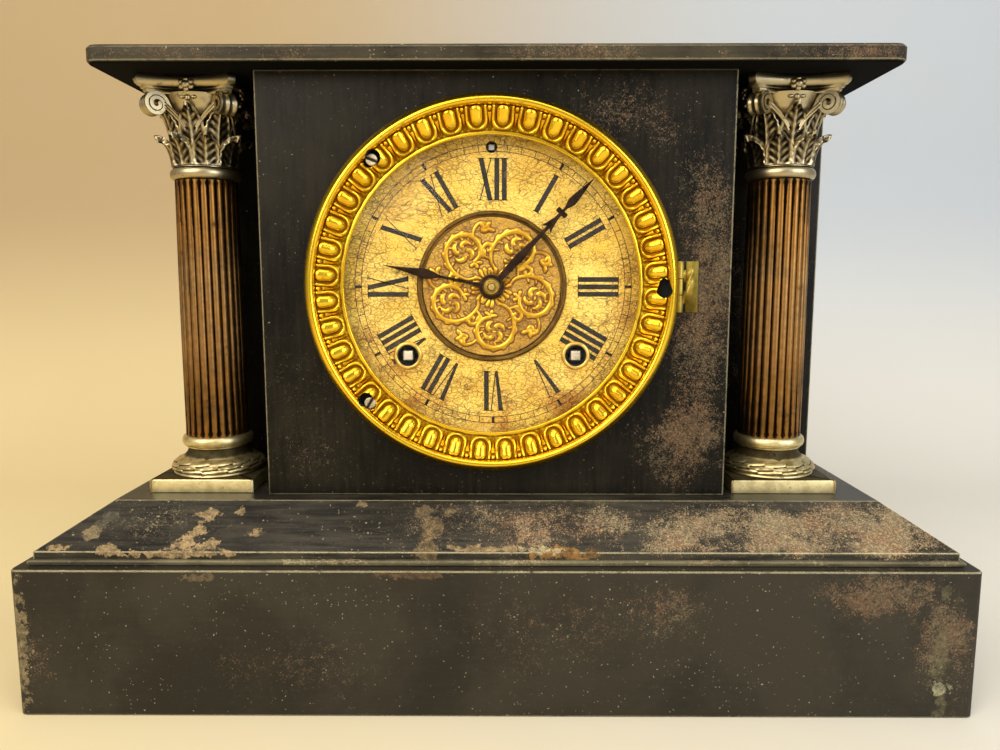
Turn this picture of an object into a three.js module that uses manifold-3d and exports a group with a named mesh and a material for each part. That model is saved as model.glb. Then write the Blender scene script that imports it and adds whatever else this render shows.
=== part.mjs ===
// Cast iron mantel clock: stepped base, two columns, a gilt hinged bezel and an eight-day striking movement.
// Millimetres. X to the right, Y to the back, Z up. The base stands on Z = 0 with its footprint centred.

import * as THREE from 'three';
import { mergeVertices } from 'three/addons/utils/BufferGeometryUtils.js';
import ManifoldModule from 'manifold-3d';

const wasm = await ManifoldModule();
wasm.setup();

// base casting
const baseWidth = 406;
const baseDepth = 165;
const baseHeight = 64.4;
const baseWall = 5;
const baseFlange = 24;
const baseCornerRadius = 3;

// stepped plinth with a hipped slope
const tierInset = 6.8;
const riserHeight = 5.6;
const slopeRun = 23.8;
const slopeRise = 15.7;
const tierWall = 5;
const ledgeDepth = 8.9;
const pendulumBay = 46;
const pendulumBayDepth = 17;

// case above the plinth
const bodyHeight = 189.3;
const recessWidth = 58.2;
const caseWall = 4;
const flankOverhang = 9;
const dialOpeningLap = 11.9;
const backSheetThickness = 1.5;
const backSheetInset = 4;

// top slab
const slabThickness = 7.55;
const slabSideOverhang = 10.1;
const slabFrontOverhang = 11.5;
const slabCornerRadius = 5;
const slabEdgeRound = 1.3;

// back door
const doorRadius = 60;
const doorLap = 4;
const doorThickness = 1;
const doorGap = 0.2;
const doorBarrelRadius = 1.1;
const doorPinRadius = 0.5;
const doorKnuckle = 12;
const doorCaseLeaf = 3.3;
const doorOwnLeaf = 4.4;
const doorKnobRadius = 4;
const doorKnobNeck = 2.4;
const doorKnobFace = 2.8;
const doorKnobShoulder = 0.6;
const doorKnobHeight = 1.2;
const doorKnobInset = 12;

// columns
const columnInset = 27.7;
const columnShift = -1.8;
const columnSetback = 2;
const columnClear = 1;
const columnSides = 18;
const plinthSize = 48.4;
const plinthHeight = 6.4;
const lowerTorusRadius = 21.9;
const lowerTorusHeight = 9.4;
const lowerTorusBulge = 5.6;
const scotiaRadius = 13.4;
const scotiaHeight = 3;
const upperTorusRadius = 16.5;
const upperTorusHeight = 5.5;
const mouldingSteps = 4;
const shaftRadius = 14.7;
const shaftTopRadius = 14.1;
const shaftHeight = 120.3;
const fluteCount = 24;
const fluteDepth = 1.1;
const fluteFillet = 0.3;
const fluteFlank = 0.2;
const astragalRadius = 15.6;
const astragalHeight = 5.8;
const bellRadius = 13.4;
const bellFoot = 2;
const bellSwell = 1;
const bellLipRadius = 18;
const bellLipHeight = 2;
const abacusHalf = 22.8;
const abacusHeight = 7.6;
const abacusHollow = 4;
const abacusCorner = 3;
const voluteRadius = 5.3;
const voluteWidth = 7;
const voluteReach = 22.4;
const voluteStem = 4.6;
const voluteSides = 6;

// tie rods through the columns
const tieRodRadius = 3;
const tieRodClear = 0.3;
const tieRodGrip = 5;
const rodNutRadius = 6.5;
const rodNutHeight = 6;
const rodNutSides = 6;
const rodStub = 2;

// dial
const dialX = -1.8;
const dialAboveLedge = 95.7;
const dialLap = 8;
const dialThickness = 0.8;
const arborHoleRadius = 4;
const medallionRadius = 31;
const medallionThickness = 1.1;
const ringGap = 0.2;
const ringWidth = 2.7;
const ringThickness = 1.3;
const windingX = 38.3;
const windingDrop = 31.2;
const eyeletInner = 4.85;
const eyeletOuter = 6;
const eyeletWall = 0.5;
const eyeletFlange = 0.9;
const regulatorRise = 61.5;
const regulatorHoleRadius = 2.65;

// bezel: sash frame, glass and gilt ring on a hinge
const bezelRadius = 81.9;
const bezelWidth = 16.3;
const bezelGap = 0.3;
const sashThickness = 1;
const sashLap = 1.4;
const sashLip = 0.5;
const sashNotch = 4;
const sashTongue = 6;
const glassLap = 5.4;
const glassThickness = 1.6;
const glassRise = 6;
const glassEase = 1;
const glassSteps = 3;
const bezelSheet = 0.9;
const bezelLipWidth = 1.4;
const bezelInnerStep = 0.8;
const bezelOuterStep = 3.4;
const bezelBackLap = 5.6;
const bezelRimDepth = 7.8;
const bezelRimWidth = 5.3;
const rimToe = 0.8;
const rimToeDrop = 1.3;
const rimCrownWall = 1.2;
const rimCheek = 0.5;
const rimCheekDrop = 1.5;
const rimSkirtDrop = 3.4;
const rimHollow = 0.6;
const screwInset = 6.7;
const screwAngles = [133.4, 223.5];
const emptyKeyholeAngle = 359;
const keyholeRadius = 3;
const keyholeSlotRadius = 1.7;
const keyholeShift = 3.3;
const screwHeadRadius = 2.1;
const screwTopRadius = 1.7;
const screwHeadHeight = 1.6;
const screwEdgeHeight = 1;
const screwShankRadius = 1.2;
const screwStandoff = 2.2;
const hingeOffset = 1.7;
const hingeHeight = 22.5;
const hingeBarrelRadius = 1.5;
const hingePinRadius = 0.75;
const hingeLeafWidth = 8.4;
const hingeLeafThickness = 0.9;
const hingeStandoff = 0.9;
const hingeKnuckleGap = 0.3;
const hingeClear = 0.6;
const hingeTab = 3;

// hands: each blade is a list of [share of the hand's length, half width in stems]
const handThickness = 0.6;
const hourHandLift = 2.2;
const minuteHandLift = 3.6;
const minuteHandShort = 3.1;
const hourHandShort = 18.6;
const hourHandAngle = 281.3;
const minuteHandAngle = 43.6;
const hourBossRadius = 5.6;
const minuteBossRadius = 5;
const handNutRadius = 3.9;
const handNutTop = 3.1;
const handNutHeight = 2.4;
const handNutDish = 0.2;
const arborTipRise = 0.4;
const handStem = 1;
const hourBlade = [[0.06, 1], [0.52, 0.7], [0.6, 2.5], [0.72, 2.6], [0.92, 0.6], [1, 0]];
const minuteBlade = [[0.05, 1.2], [0.3, 2.2], [0.54, 0.7], [0.57, 3], [0.66, 0.7], [0.68, 2.8],
  [0.71, 2.8], [0.73, 0.9], [0.85, 1.8], [1, 0]];

// movement plates
const plateThickness = 1.8;
const plateGap = 40;
const frontPlateDepth = 13;
const plateHalfWidth = 66;
const plateTop = 70;
const plateBottom = -64;
const plateCorner = 6;
const plateCornerSteps = 2;
const pillarX = 60;
const pillarTop = 63;
const pillarBottom = -58;
const pillarRadius = 3.4;
const pillarGrip = 1;
const pivotRadius = 0.8;
const pivotSides = 8;
const arborRadius = 1.5;
const pivotClear = 0.35;
const endShake = 0.2;

// toothed wheels
const pressureAngle = Math.PI / 6;
const addendum = 0.65;
const dedendum = 0.95;
const backlash = 0.36;
const wheelThickness = 1.3;
const wheelRim = 2.2;
const wheelHub = 4;
const wheelArms = 5;
const armHalfWidth = 1.6;
const pinionFace = 3.4;
const pinionOverlap = 1;
const greatTeeth = 40;
const greatModule = 1.4;
const greatThickness = 1.8;
const greatHub = 8;
const greatRim = 3;
const secondLeaves = 8;
const secondTeeth = 40;
const secondModule = 1.05;
const centreLeaves = 10;
const centreTeeth = 66;
const centreModule = 0.7;
const centreHub = 5;
const centreTube = 1.2;
const thirdLeaves = 6;
const thirdTeeth = 66;
const thirdModule = 0.6;
const escapeLeaves = 6;
const thirdAngle = 125;
const flyLeaves = 8;
const flyAngle = 118;
const cannonLeaves = 8;
const minuteTeeth = 24;
const hourLeaves = 8;
const hourTeeth = 32;
const motionModule = 1.1;
const motionArms = 4;
const minuteWheelAngle = 200;
const cannonGap = 2.6;
const cannonOverlap = 0.6;
const hourWheelGap = 3.4;
const hourPinionLead = 1;
const hourPipeWall = 1;
const studTip = 1.2;

// how far the wheels stand from the plates and from one another
const greatSetback = 2.2;
const secondGap = 3.2;
const liftingLap = 0.4;
const ratchetGap = 1.5;
const centreSetback = 21;
const thirdGap = 7;
const escapeSetback = 4;

// escapement and pendulum
const escapeTeeth = 36;
const escapeRadius = 13.5;
const escapeToothDepth = 2.4;
const escapeToothLean = 0.45;
const escapeRim = 1.8;
const vergeRise = 17.5;
const vergeTail = 5;
const palletClear = 1.5;
const palletAngle = 40;
const palletInner = 0.7;
const palletOuter = 1;
const palletBack = 1.4;
const palletHeel = 0.5;
const palletToe = 0.2;
const palletRise = 1.2;
const anchorShoulder = 6.3;
const anchorWaist = 0.4;
const anchorHubHalf = 2.2;
const anchorHubTop = 2.6;
const anchorHubBottom = 1.8;
const anchorLap = 0.3;
const crutchLength = 40;
const crutchWire = 1;
const crutchGap = 3.5;
const forkClear = 0.9;
const forkWall = 1.2;
const forkBelow = 1.5;
const forkAbove = 0.5;
const pendulumLength = 170;
const pendulumOffset = 10;
const springStrip = 0.4;
const springWidth = 5;
const stripDrop = 12;
const stripGap = 1;
const rodRadius = 1.1;
const rodDrop = 10;
const bobRadius = 21;
const bobThickness = 10;
const bobSteps = 6;
const cockHalfWidth = 5;
const cockHeight = 10;
const cockSlot = 1.3;
const cockRise = 4;

// power: winding arbors, ratchets and mainsprings
const windingRadius = 3;
const windingSquare = 4.2;
const windingTip = 4.6;
const windingSquareRoot = 0.5;
const ratchetTeeth = 18;
const ratchetRadius = 9;
const ratchetDepth = 1.6;
const ratchetLean = 0.9;
const ratchetThickness = 1.5;
const springHubRadius = 5.2;
const springHubClear = 0.3;
const springHeight = 18;
const springStart = 12;
const springLoops = 4;
const springStepsPerLoop = 16;
const springThickness = 0.9;
const springOuter = 24;

// regulator
const regulatorSquare = 2.4;
const regulatorTip = 1;
const regulatorSquareLength = 5;

// strike work
const liftingPins = 8;
const liftingPinRadius = 0.8;
const liftingPinLength = 3;
const liftingPinCircle = 19;
const flyHalfWidth = 9.5;
const flyLength = 13;
const flyThickness = 0.7;
const flyClear = 1;
const hammerX = -52;
const hammerZ = 20;
const hammerWire = 1.1;
const hammerWireGap = 4;
const hammerElbow = 8;
const hammerHeadRadius = 4.5;
const hammerHeadLength = 13;
const hammerGap = 0.7;
const gongRadius = 46;
const gongLoops = 3;
const gongWire = 1.5;
const gongDrop = 31;
const gongInset = 21;
const gongBoss = 6;
const gongPost = 5;
const gongPostGap = 3;
const gongFootHalf = 20;
const gongFootDepth = 16;
const gongFootLead = 2;
const gongFootHeight = 4;

// fits, cuts and the fineness of round forms
const fitGap = 0.1;
const overcut = 1;
const roundSides = 36;
const smallSides = 12;
const tinySides = 6;
const coilSteps = 24;
const coilSides = 6;
const weldTolerance = 1e-4;

const radians = (turn) => turn * Math.PI / 180;
const degrees = (angle) => angle * 180 / Math.PI;
const frontY = -baseDepth / 2;
const backY = baseDepth / 2;
const ledgeZ = baseHeight + riserHeight + slopeRise;
const slabZ = ledgeZ + bodyHeight;
const tierHalf = baseWidth / 2 - tierInset;
const ledgeHalf = tierHalf - slopeRun;
const flankHalf = ledgeHalf - flankOverhang;
const panelHalfWidth = flankHalf - recessWidth;
const panelY = frontY + tierInset + slopeRun + ledgeDepth;
const panelBackY = panelY + caseWall;
const columnX = flankHalf - columnInset;
const columnY = panelY + columnSetback + plinthSize / 2;
const flankY = columnY + plinthSize / 2 + columnClear;
const backSheetY = backY - backSheetInset;
const dialZ = ledgeZ + dialAboveLedge;
const dialOpeningRadius = bezelRadius - dialOpeningLap;
const sides = [['left', -1], ['right', 1]];

// solids and cuts

function welded(geometry) {
  const bare = geometry.clone();
  bare.deleteAttribute('normal');
  bare.deleteAttribute('uv');
  const joined = mergeVertices(bare, weldTolerance);
  const corners = [];
  const index = joined.index.array;
  const point = joined.attributes.position;
  let volume = 0;
  const a = new THREE.Vector3();
  const b = new THREE.Vector3();
  const c = new THREE.Vector3();
  for (let i = 0; i < index.length; i += 3) {
    const [p, q, r] = [index[i], index[i + 1], index[i + 2]];
    if (p === q || q === r || r === p) continue;
    corners.push(p, q, r);
    a.fromBufferAttribute(point, p);
    b.fromBufferAttribute(point, q);
    c.fromBufferAttribute(point, r);
    volume += a.dot(b.cross(c));
  }
  if (volume < 0) corners.reverse();
  joined.setIndex(corners);
  return joined;
}

function solidOf(geometry) {
  const joined = welded(geometry);
  const vertProperties = Float32Array.from(joined.attributes.position.array);
  const triVerts = Uint32Array.from(joined.index.array);
  return new wasm.Manifold(new wasm.Mesh({ numProp: 3, vertProperties, triVerts }));
}

function geometryOf(solid) {
  const mesh = solid.getMesh();
  const geometry = new THREE.BufferGeometry();
  geometry.setAttribute('position', new THREE.BufferAttribute(Float32Array.from(mesh.vertProperties), 3));
  geometry.setIndex(new THREE.BufferAttribute(Uint32Array.from(mesh.triVerts), 1));
  return geometry;
}

const fuse = (...pieces) => geometryOf(pieces.map(solidOf).reduce((whole, next) => whole.add(next)));
const cut = (piece, ...tools) => geometryOf(
  tools.map(solidOf).reduce((whole, next) => whole.subtract(next), solidOf(piece)));
const common = (one, other) => geometryOf(solidOf(one).intersect(solidOf(other)));

// plain forms

const block = (x0, x1, y0, y1, z0, z1) => new THREE.BoxGeometry(x1 - x0, y1 - y0, z1 - z0)
  .translate((x0 + x1) / 2, (y0 + y1) / 2, (z0 + z1) / 2);

const shapeOf = (points) => new THREE.Shape(points.map(([u, v]) => new THREE.Vector2(u, v)));

const slabUp = (points, z0, z1, holes = []) => {
  const shape = shapeOf(points);
  shape.holes = holes.map(shapeOf);
  return new THREE.ExtrudeGeometry(shape, { depth: z1 - z0, bevelEnabled: false }).translate(0, 0, z0);
};

const slabDeep = (points, y0, y1, holes = []) => {
  const shape = shapeOf(points);
  shape.holes = holes.map(shapeOf);
  return new THREE.ExtrudeGeometry(shape, { depth: y1 - y0, bevelEnabled: false })
    .rotateX(Math.PI / 2).translate(0, y1, 0);
};

const latheDeep = (profile, count) => new THREE.LatheGeometry(
  profile.map(([r, y]) => new THREE.Vector2(r, y)), count);
const latheUp = (profile, count) => latheDeep(profile, count).rotateX(Math.PI / 2);
const discProfile = (r, low, high) => [[0, low], [r, low], [r, high], [0, high]];
const tubeProfile = (r0, r1, low, high) => [[r0, low], [r1, low], [r1, high], [r0, high], [r0, low]];
const discDeep = (r, y0, y1, count) => latheDeep(discProfile(r, y0, y1), count);
const tubeDeep = (r0, r1, y0, y1, count) => latheDeep(tubeProfile(r0, r1, y0, y1), count);
const discUp = (r, z0, z1, count) => latheUp(discProfile(r, z0, z1), count);
const tubeUp = (r0, r1, z0, z1, count) => latheUp(tubeProfile(r0, r1, z0, z1), count);

const polar = (r, turn) => [r * Math.cos(radians(turn)), r * Math.sin(radians(turn))];

const circlePoints = (r, count, u = 0, v = 0) => Array.from({ length: count }, (_, i) => {
  const [x, y] = polar(r, 360 * i / count);
  return [u + x, v + y];
});

function roundedRectangle(u0, u1, v0, v1, r, steps = 3) {
  const middles = [[u1 - r, v1 - r], [u0 + r, v1 - r], [u0 + r, v0 + r], [u1 - r, v0 + r]];
  return middles.flatMap(([u, v], quarter) => Array.from({ length: steps + 1 }, (_, i) => {
    const [x, y] = polar(r, 90 * (quarter + i / steps));
    return [u + x, v + y];
  }));
}

const rodBetween = (from, to, r, count) => {
  const start = new THREE.Vector3(...from);
  const way = new THREE.Vector3(...to).sub(start);
  const turn = new THREE.Quaternion().setFromUnitVectors(new THREE.Vector3(0, 1, 0), way.clone().normalize());
  return discDeep(r, 0, way.length(), count).applyQuaternion(turn).translate(start.x, start.y, start.z);
};

const moved = (geometry, x, z) => geometry.clone().translate(x, 0, z);

// looks: colour, roughness and metalness

const looks = {
  iron: [0x1d1b19, 0.5, 0.35],
  roughIron: [0x2a2623, 0.75, 0.4],
  gilt: [0xd9a520, 0.3, 0.95],
  brass: [0xb08d3e, 0.35, 0.95],
  antiqueBrass: [0x8d7a4a, 0.45, 0.9],
  copper: [0x9c5a24, 0.4, 0.9],
  steel: [0xa8a8a4, 0.35, 1],
  blued: [0x2a211c, 0.4, 0.7],
  tin: [0x4a4844, 0.5, 0.8],
  paper: [0xd6b87c, 0.85, 0],
  glass: [0xf4f6f4, 0.05, 0],
};
const glassOpacity = 0.2;

const group = new THREE.Group();
group.name = 'mantel_clock';

function add(name, geometry, look) {
  const [color, roughness, metalness] = looks[look];
  const material = new THREE.MeshStandardMaterial({ color, roughness, metalness });
  material.name = look;
  if (look === 'glass') Object.assign(material, { transparent: true, opacity: glassOpacity });
  const solid = welded(geometry);
  solid.computeVertexNormals();
  const mesh = new THREE.Mesh(solid, material);
  mesh.name = name;
  group.add(mesh);
}

const addAtDial = (name, geometry, look) => add(name, moved(geometry, dialX, dialZ), look);

// planes through the movement, front to back

const frontPlateY = panelBackY + frontPlateDepth;
const innerFrontY = frontPlateY + plateThickness;
const innerBackY = innerFrontY + plateGap;
const backPlateY = innerBackY + plateThickness;
const pendulumY = backPlateY + pendulumOffset;
const gongY = backSheetY - gongInset;
const greatY = innerFrontY + greatSetback;
const secondY = greatY + greatThickness + secondGap;
const liftingY = secondY + pinionFace - liftingLap;
const ratchetY = greatY + greatThickness + ratchetGap;
const mainspringY = innerFrontY + springStart;
const centreWheelY = innerFrontY + centreSetback;
const thirdWheelY = centreWheelY + thirdGap;
const escapeY = innerBackY - escapeSetback;
const pinionShift = (pinionFace - wheelThickness) / 2;
const cannonY = frontPlateY - cannonGap;
const hourWheelY = cannonY - hourWheelGap;

// base and plinth

const rodBore = tieRodRadius + tieRodClear;
const rodHoles = (z0, z1) => sides.map(([, side]) => discUp(rodBore, z0, z1, smallSides)
  .translate(columnShift + side * columnX, columnY, 0));

function baseCasting() {
  const half = baseWidth / 2;
  const outside = slabUp(roundedRectangle(-half, half, frontY, backY, baseCornerRadius), 0, baseHeight);
  const inside = block(-half + baseWall, half - baseWall, frontY + baseWall, backY - baseWall,
    -baseWall, baseHeight - baseWall);
  const mouth = block(-half + baseFlange, half - baseFlange, frontY + baseFlange, backY - baseFlange,
    0, baseHeight + baseWall);
  return cut(outside, inside, mouth);
}

function hipped(shrink) {
  const half = tierHalf - shrink;
  const top = ledgeZ - shrink;
  const front = frontY + tierInset + shrink;
  const back = backY - shrink;
  const low = shrink ? baseHeight - tierWall : baseHeight;
  const shoulder = baseHeight + riserHeight - shrink * Math.tan(Math.atan2(slopeRise, slopeRun) / 2);
  const run = (top - shoulder) * slopeRun / slopeRise;
  const face = slabDeep([[-half, low], [half, low], [half, shoulder], [half - run, top],
    [-half + run, top], [-half, shoulder]], front, back);
  const side = [[front, low], [back, low], [back, top], [front + run, top], [front, shoulder]];
  const along = new THREE.ExtrudeGeometry(shapeOf(side), { depth: 2 * half, bevelEnabled: false })
    .rotateX(Math.PI / 2).rotateZ(Math.PI / 2).translate(-half, 0, 0);
  return common(face, along);
}

const pendulumOpening = block(dialX - pendulumBay, dialX + pendulumBay,
  pendulumY - pendulumBayDepth, pendulumY + pendulumBayDepth, baseHeight, ledgeZ + overcut);
add('base_casting', baseCasting(), 'iron');
add('stepped_plinth', cut(hipped(0), hipped(tierWall), pendulumOpening,
  ...rodHoles(baseHeight, ledgeZ + overcut)), 'iron');

// case walls and slab

const panelInnerHalf = panelHalfWidth - caseWall;
const frontHalfOutline = [[panelHalfWidth, panelY], [panelHalfWidth, flankY], [flankHalf, flankY],
  [flankHalf, flankY + caseWall], [panelInnerHalf, flankY + caseWall], [panelInnerHalf, panelBackY]];
const frontOutline = [...frontHalfOutline, ...frontHalfOutline.map(([x, y]) => [-x, y]).reverse()];
const dialOpening = discDeep(dialOpeningRadius, panelY - overcut, panelBackY + overcut, roundSides);
add('front_casting', cut(slabUp(frontOutline, ledgeZ, slabZ), moved(dialOpening, dialX, dialZ)), 'iron');

for (const [name, side] of sides) {
  const middle = side * (flankHalf - caseWall / 2);
  add(`${name}_side_casting`, block(middle - caseWall / 2, middle + caseWall / 2,
    flankY + caseWall, backSheetY, ledgeZ, slabZ), 'iron');
}

const slabHalf = flankHalf + slabSideOverhang;
const slabFront = panelY - slabFrontOverhang;
const slabBody = new THREE.ExtrudeGeometry(
  shapeOf(roundedRectangle(-slabHalf + slabEdgeRound, slabHalf - slabEdgeRound,
    slabFront + slabEdgeRound, backY - slabEdgeRound, slabCornerRadius)),
  { depth: slabThickness - 2 * slabEdgeRound, bevelEnabled: true, bevelThickness: slabEdgeRound,
    bevelSize: slabEdgeRound, bevelSegments: 2 }).translate(0, 0, slabZ + slabEdgeRound);
add('top_slab', cut(slabBody, ...rodHoles(slabZ - overcut, slabZ + tieRodGrip + fitGap)), 'iron');

// back sheet and its door

const sheetBackY = backSheetY + backSheetThickness;
const doorY = sheetBackY + doorGap;
const doorBackY = doorY + doorThickness;
const doorHingeX = -doorRadius - doorBarrelRadius - doorGap;
const doorHingeY = doorY + doorBarrelRadius;
const atDoorHinge = (geometry) => geometry.translate(doorHingeX, doorHingeY, 0);

// one knuckle of the door's hinge, a step up or down from the middle, with the leaf that carries it
function doorKnuckleAt(step, x0, x1, y0, y1) {
  const z0 = (step - 0.5) * doorKnuckle + hingeKnuckleGap;
  const z1 = (step + 0.5) * doorKnuckle - hingeKnuckleGap;
  const leaf = cut(block(x0, x1, y0, y1, z0, z1),
    atDoorHinge(discUp(doorBarrelRadius - fitGap, z0 - overcut, z1 + overcut, tinySides)));
  return fuse(atDoorHinge(tubeUp(doorPinRadius + fitGap, doorBarrelRadius, z0, z1, tinySides)), leaf);
}

const sheet = slabDeep([[-flankHalf, ledgeZ], [flankHalf, ledgeZ], [flankHalf, slabZ], [-flankHalf, slabZ]],
  backSheetY, sheetBackY, [circlePoints(doorRadius - doorLap, roundSides, dialX, dialZ)]);
const sheetKnuckles = [-1, 1].map((step) => doorKnuckleAt(step, doorHingeX - doorCaseLeaf, doorHingeX,
  sheetBackY - backSheetThickness / 2, doorHingeY));
add('back_sheet', fuse(sheet, ...sheetKnuckles.map((piece) => moved(piece, dialX, dialZ))), 'tin');
addAtDial('back_door', fuse(discDeep(doorRadius, doorY, doorBackY, roundSides),
  doorKnuckleAt(0, doorHingeX, doorHingeX + doorOwnLeaf, doorY, doorBackY)), 'tin');
addAtDial('back_door_pin', atDoorHinge(
  discUp(doorPinRadius, -1.5 * doorKnuckle, 1.5 * doorKnuckle, tinySides)), 'steel');
addAtDial('back_door_knob', latheDeep([[0, doorBackY], [doorKnobNeck, doorBackY],
  [doorKnobRadius, doorBackY + doorKnobShoulder], [doorKnobFace, doorBackY + doorKnobHeight - fitGap],
  [0, doorBackY + doorKnobHeight]], smallSides).translate(doorRadius - doorKnobInset, 0, 0), 'brass');

// columns

const shaftZ = ledgeZ + plinthHeight + lowerTorusHeight + scotiaHeight + upperTorusHeight;
const capitalZ = shaftZ + shaftHeight;

function bulge(radius, z0, z1, depth) {
  return Array.from({ length: mouldingSteps + 1 }, (_, i) => {
    const turn = Math.PI * i / mouldingSteps;
    return [radius - depth + depth * Math.sin(turn), (z0 + z1) / 2 - (z1 - z0) / 2 * Math.cos(turn)];
  });
}

function columnBase() {
  const z0 = ledgeZ + plinthHeight;
  const z1 = z0 + lowerTorusHeight;
  const z2 = z1 + scotiaHeight;
  const seatZ = z0 - plinthHeight / 2;
  const turned = latheUp([[0, seatZ], [scotiaRadius, seatZ],
    ...bulge(lowerTorusRadius, z0, z1, lowerTorusBulge), [scotiaRadius, (z1 + z2) / 2],
    ...bulge(upperTorusRadius, z2, shaftZ, upperTorusHeight / 2), [0, shaftZ]], columnSides);
  const half = plinthSize / 2;
  const square = block(-half, half, -half, half, ledgeZ, z0);
  return cut(fuse(turned, square), discUp(rodBore, ledgeZ - overcut, shaftZ + overcut, smallSides));
}

function flutedShaft() {
  const flute = [[0, 0], [fluteFillet, 0], [fluteFillet + fluteFlank, fluteDepth],
    [1 - fluteFlank, fluteDepth]];
  const outline = Array.from({ length: fluteCount }, (_, i) => flute.map(([part, depth]) => polar(
    shaftRadius - depth, 360 * (i + part) / fluteCount))).flat();
  const shaft = slabUp(outline, shaftZ, capitalZ);
  const point = shaft.attributes.position;
  for (let i = 0; i < point.count; i += 1) {
    const rise = (point.getZ(i) - shaftZ) / shaftHeight;
    const taper = 1 + rise * (shaftTopRadius / shaftRadius - 1);
    point.setXY(i, point.getX(i) * taper, point.getY(i) * taper);
  }
  return cut(shaft, discUp(rodBore, shaftZ - overcut, capitalZ + overcut, smallSides));
}

function abacusOutline() {
  const rise = abacusHalf - abacusCorner;
  return [0, 1, 2, 3].flatMap((quarter) => [-1, -0.5, 0, 0.5, 1].map((part) => {
    const out = abacusHalf - abacusHollow * (1 - part * part);
    const turn = quarter * Math.PI / 2;
    return [out * Math.cos(turn) - part * rise * Math.sin(turn),
      out * Math.sin(turn) + part * rise * Math.cos(turn)];
  }));
}

// a scroll under one corner of the abacus, on the arm that joins it to the bell
function cornerVolute(turn, abacusZ) {
  const scroll = rodBetween([voluteReach, -voluteWidth / 2, 0], [voluteReach, voluteWidth / 2, 0],
    voluteRadius, voluteSides).translate(0, 0, abacusZ - voluteRadius + overcut / 2);
  const arm = block(bellRadius / 2, voluteReach, -voluteStem / 2, voluteStem / 2,
    abacusZ - voluteRadius, abacusZ + overcut / 2);
  return fuse(scroll, arm).rotateZ(radians(turn));
}

function capital() {
  const bellZ = capitalZ + astragalHeight;
  const abacusZ = slabZ - abacusHeight;
  const bell = latheUp([[0, capitalZ], ...bulge(astragalRadius, capitalZ, bellZ, astragalHeight / 2),
    [bellRadius, bellZ + bellFoot], [bellRadius + bellSwell, (bellZ + abacusZ) / 2],
    [bellLipRadius, abacusZ - bellLipHeight], [bellLipRadius, abacusZ + overcut], [0, abacusZ + overcut]],
  columnSides);
  const volutes = [45, 135, 225, 315].map((turn) => cornerVolute(turn, abacusZ));
  return cut(fuse(bell, slabUp(abacusOutline(), abacusZ, slabZ), ...volutes),
    discUp(rodBore, capitalZ - overcut, slabZ + overcut, smallSides));
}

for (const [name, side] of sides) {
  const stand = (geometry) => geometry.translate(columnShift + side * columnX, columnY, 0);
  const seatZ = ledgeZ - tierWall;
  const nutZ = seatZ - rodNutHeight;
  add(`${name}_column_base`, stand(columnBase()), 'antiqueBrass');
  add(`${name}_column_shaft`, stand(flutedShaft()), 'copper');
  add(`${name}_capital`, stand(capital()), 'antiqueBrass');
  add(`${name}_tie_rod`, stand(discUp(tieRodRadius, nutZ - rodStub, slabZ + tieRodGrip,
    smallSides)), 'steel');
  add(`${name}_rod_nut`, stand(slabUp(circlePoints(rodNutRadius, rodNutSides), nutZ, seatZ,
    [circlePoints(tieRodRadius + fitGap, smallSides)])), 'steel');
}

// dial and its fittings

const dialBackY = panelBackY + dialThickness;
const dialRadius = dialOpeningRadius + dialLap;
const ringInner = medallionRadius + ringGap;
const eyeletPipe = eyeletInner + eyeletWall;
const dialHoles = [circlePoints(arborHoleRadius, smallSides),
  ...sides.map(([, side]) => circlePoints(eyeletPipe + fitGap, smallSides, side * windingX, -windingDrop)),
  circlePoints(regulatorHoleRadius, smallSides, 0, regulatorRise)];
addAtDial('dial', slabDeep(circlePoints(dialRadius, roundSides), panelBackY, dialBackY, dialHoles), 'paper');
addAtDial('dial_centre', tubeDeep(arborHoleRadius, medallionRadius, panelBackY - medallionThickness,
  panelBackY, roundSides), 'gilt');
addAtDial('dial_centre_ring', tubeDeep(ringInner, ringInner + ringWidth, panelBackY - ringThickness,
  panelBackY, roundSides), 'brass');
for (const [name, side] of sides) {
  const flangeY = panelBackY - eyeletFlange;
  const eyelet = latheDeep([[eyeletInner, flangeY], [eyeletOuter, flangeY], [eyeletOuter, panelBackY],
    [eyeletPipe, panelBackY], [eyeletPipe, dialBackY], [eyeletInner, dialBackY], [eyeletInner, flangeY]],
  smallSides);
  addAtDial(`${name}_eyelet`, moved(eyelet, side * windingX, -windingDrop), 'brass');
}

// bezel on its hinge

const bezelOpening = bezelRadius - bezelWidth;
const sashBackY = panelY - bezelGap;
const sashFrontY = sashBackY - sashThickness;
const glassBackY = sashFrontY - fitGap;
const glassFrontY = glassBackY - glassThickness;
const bezelBackY = sashFrontY - fitGap;
const bezelRimY = bezelBackY - bezelRimDepth;
const screwCircle = bezelRadius - screwInset;
const hingeX = bezelRadius + hingeOffset;
const hingeY = panelY - hingeLeafThickness - hingeStandoff;
const knuckleHalf = hingeHeight / 6;
const pinBore = hingePinRadius + fitGap;

// one knuckle of the bezel's hinge and the strip that carries it
function hingeKnuckle(x0, x1, y0, y1, z0, z1) {
  const atHinge = (geometry) => geometry.translate(hingeX, hingeY, 0);
  const strip = cut(block(x0, x1, y0, y1, z0, z1),
    atHinge(discUp(pinBore, z0 - overcut, z1 + overcut, smallSides)));
  return fuse(strip, atHinge(tubeUp(pinBore, hingeBarrelRadius, z0, z1, smallSides)));
}

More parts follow.
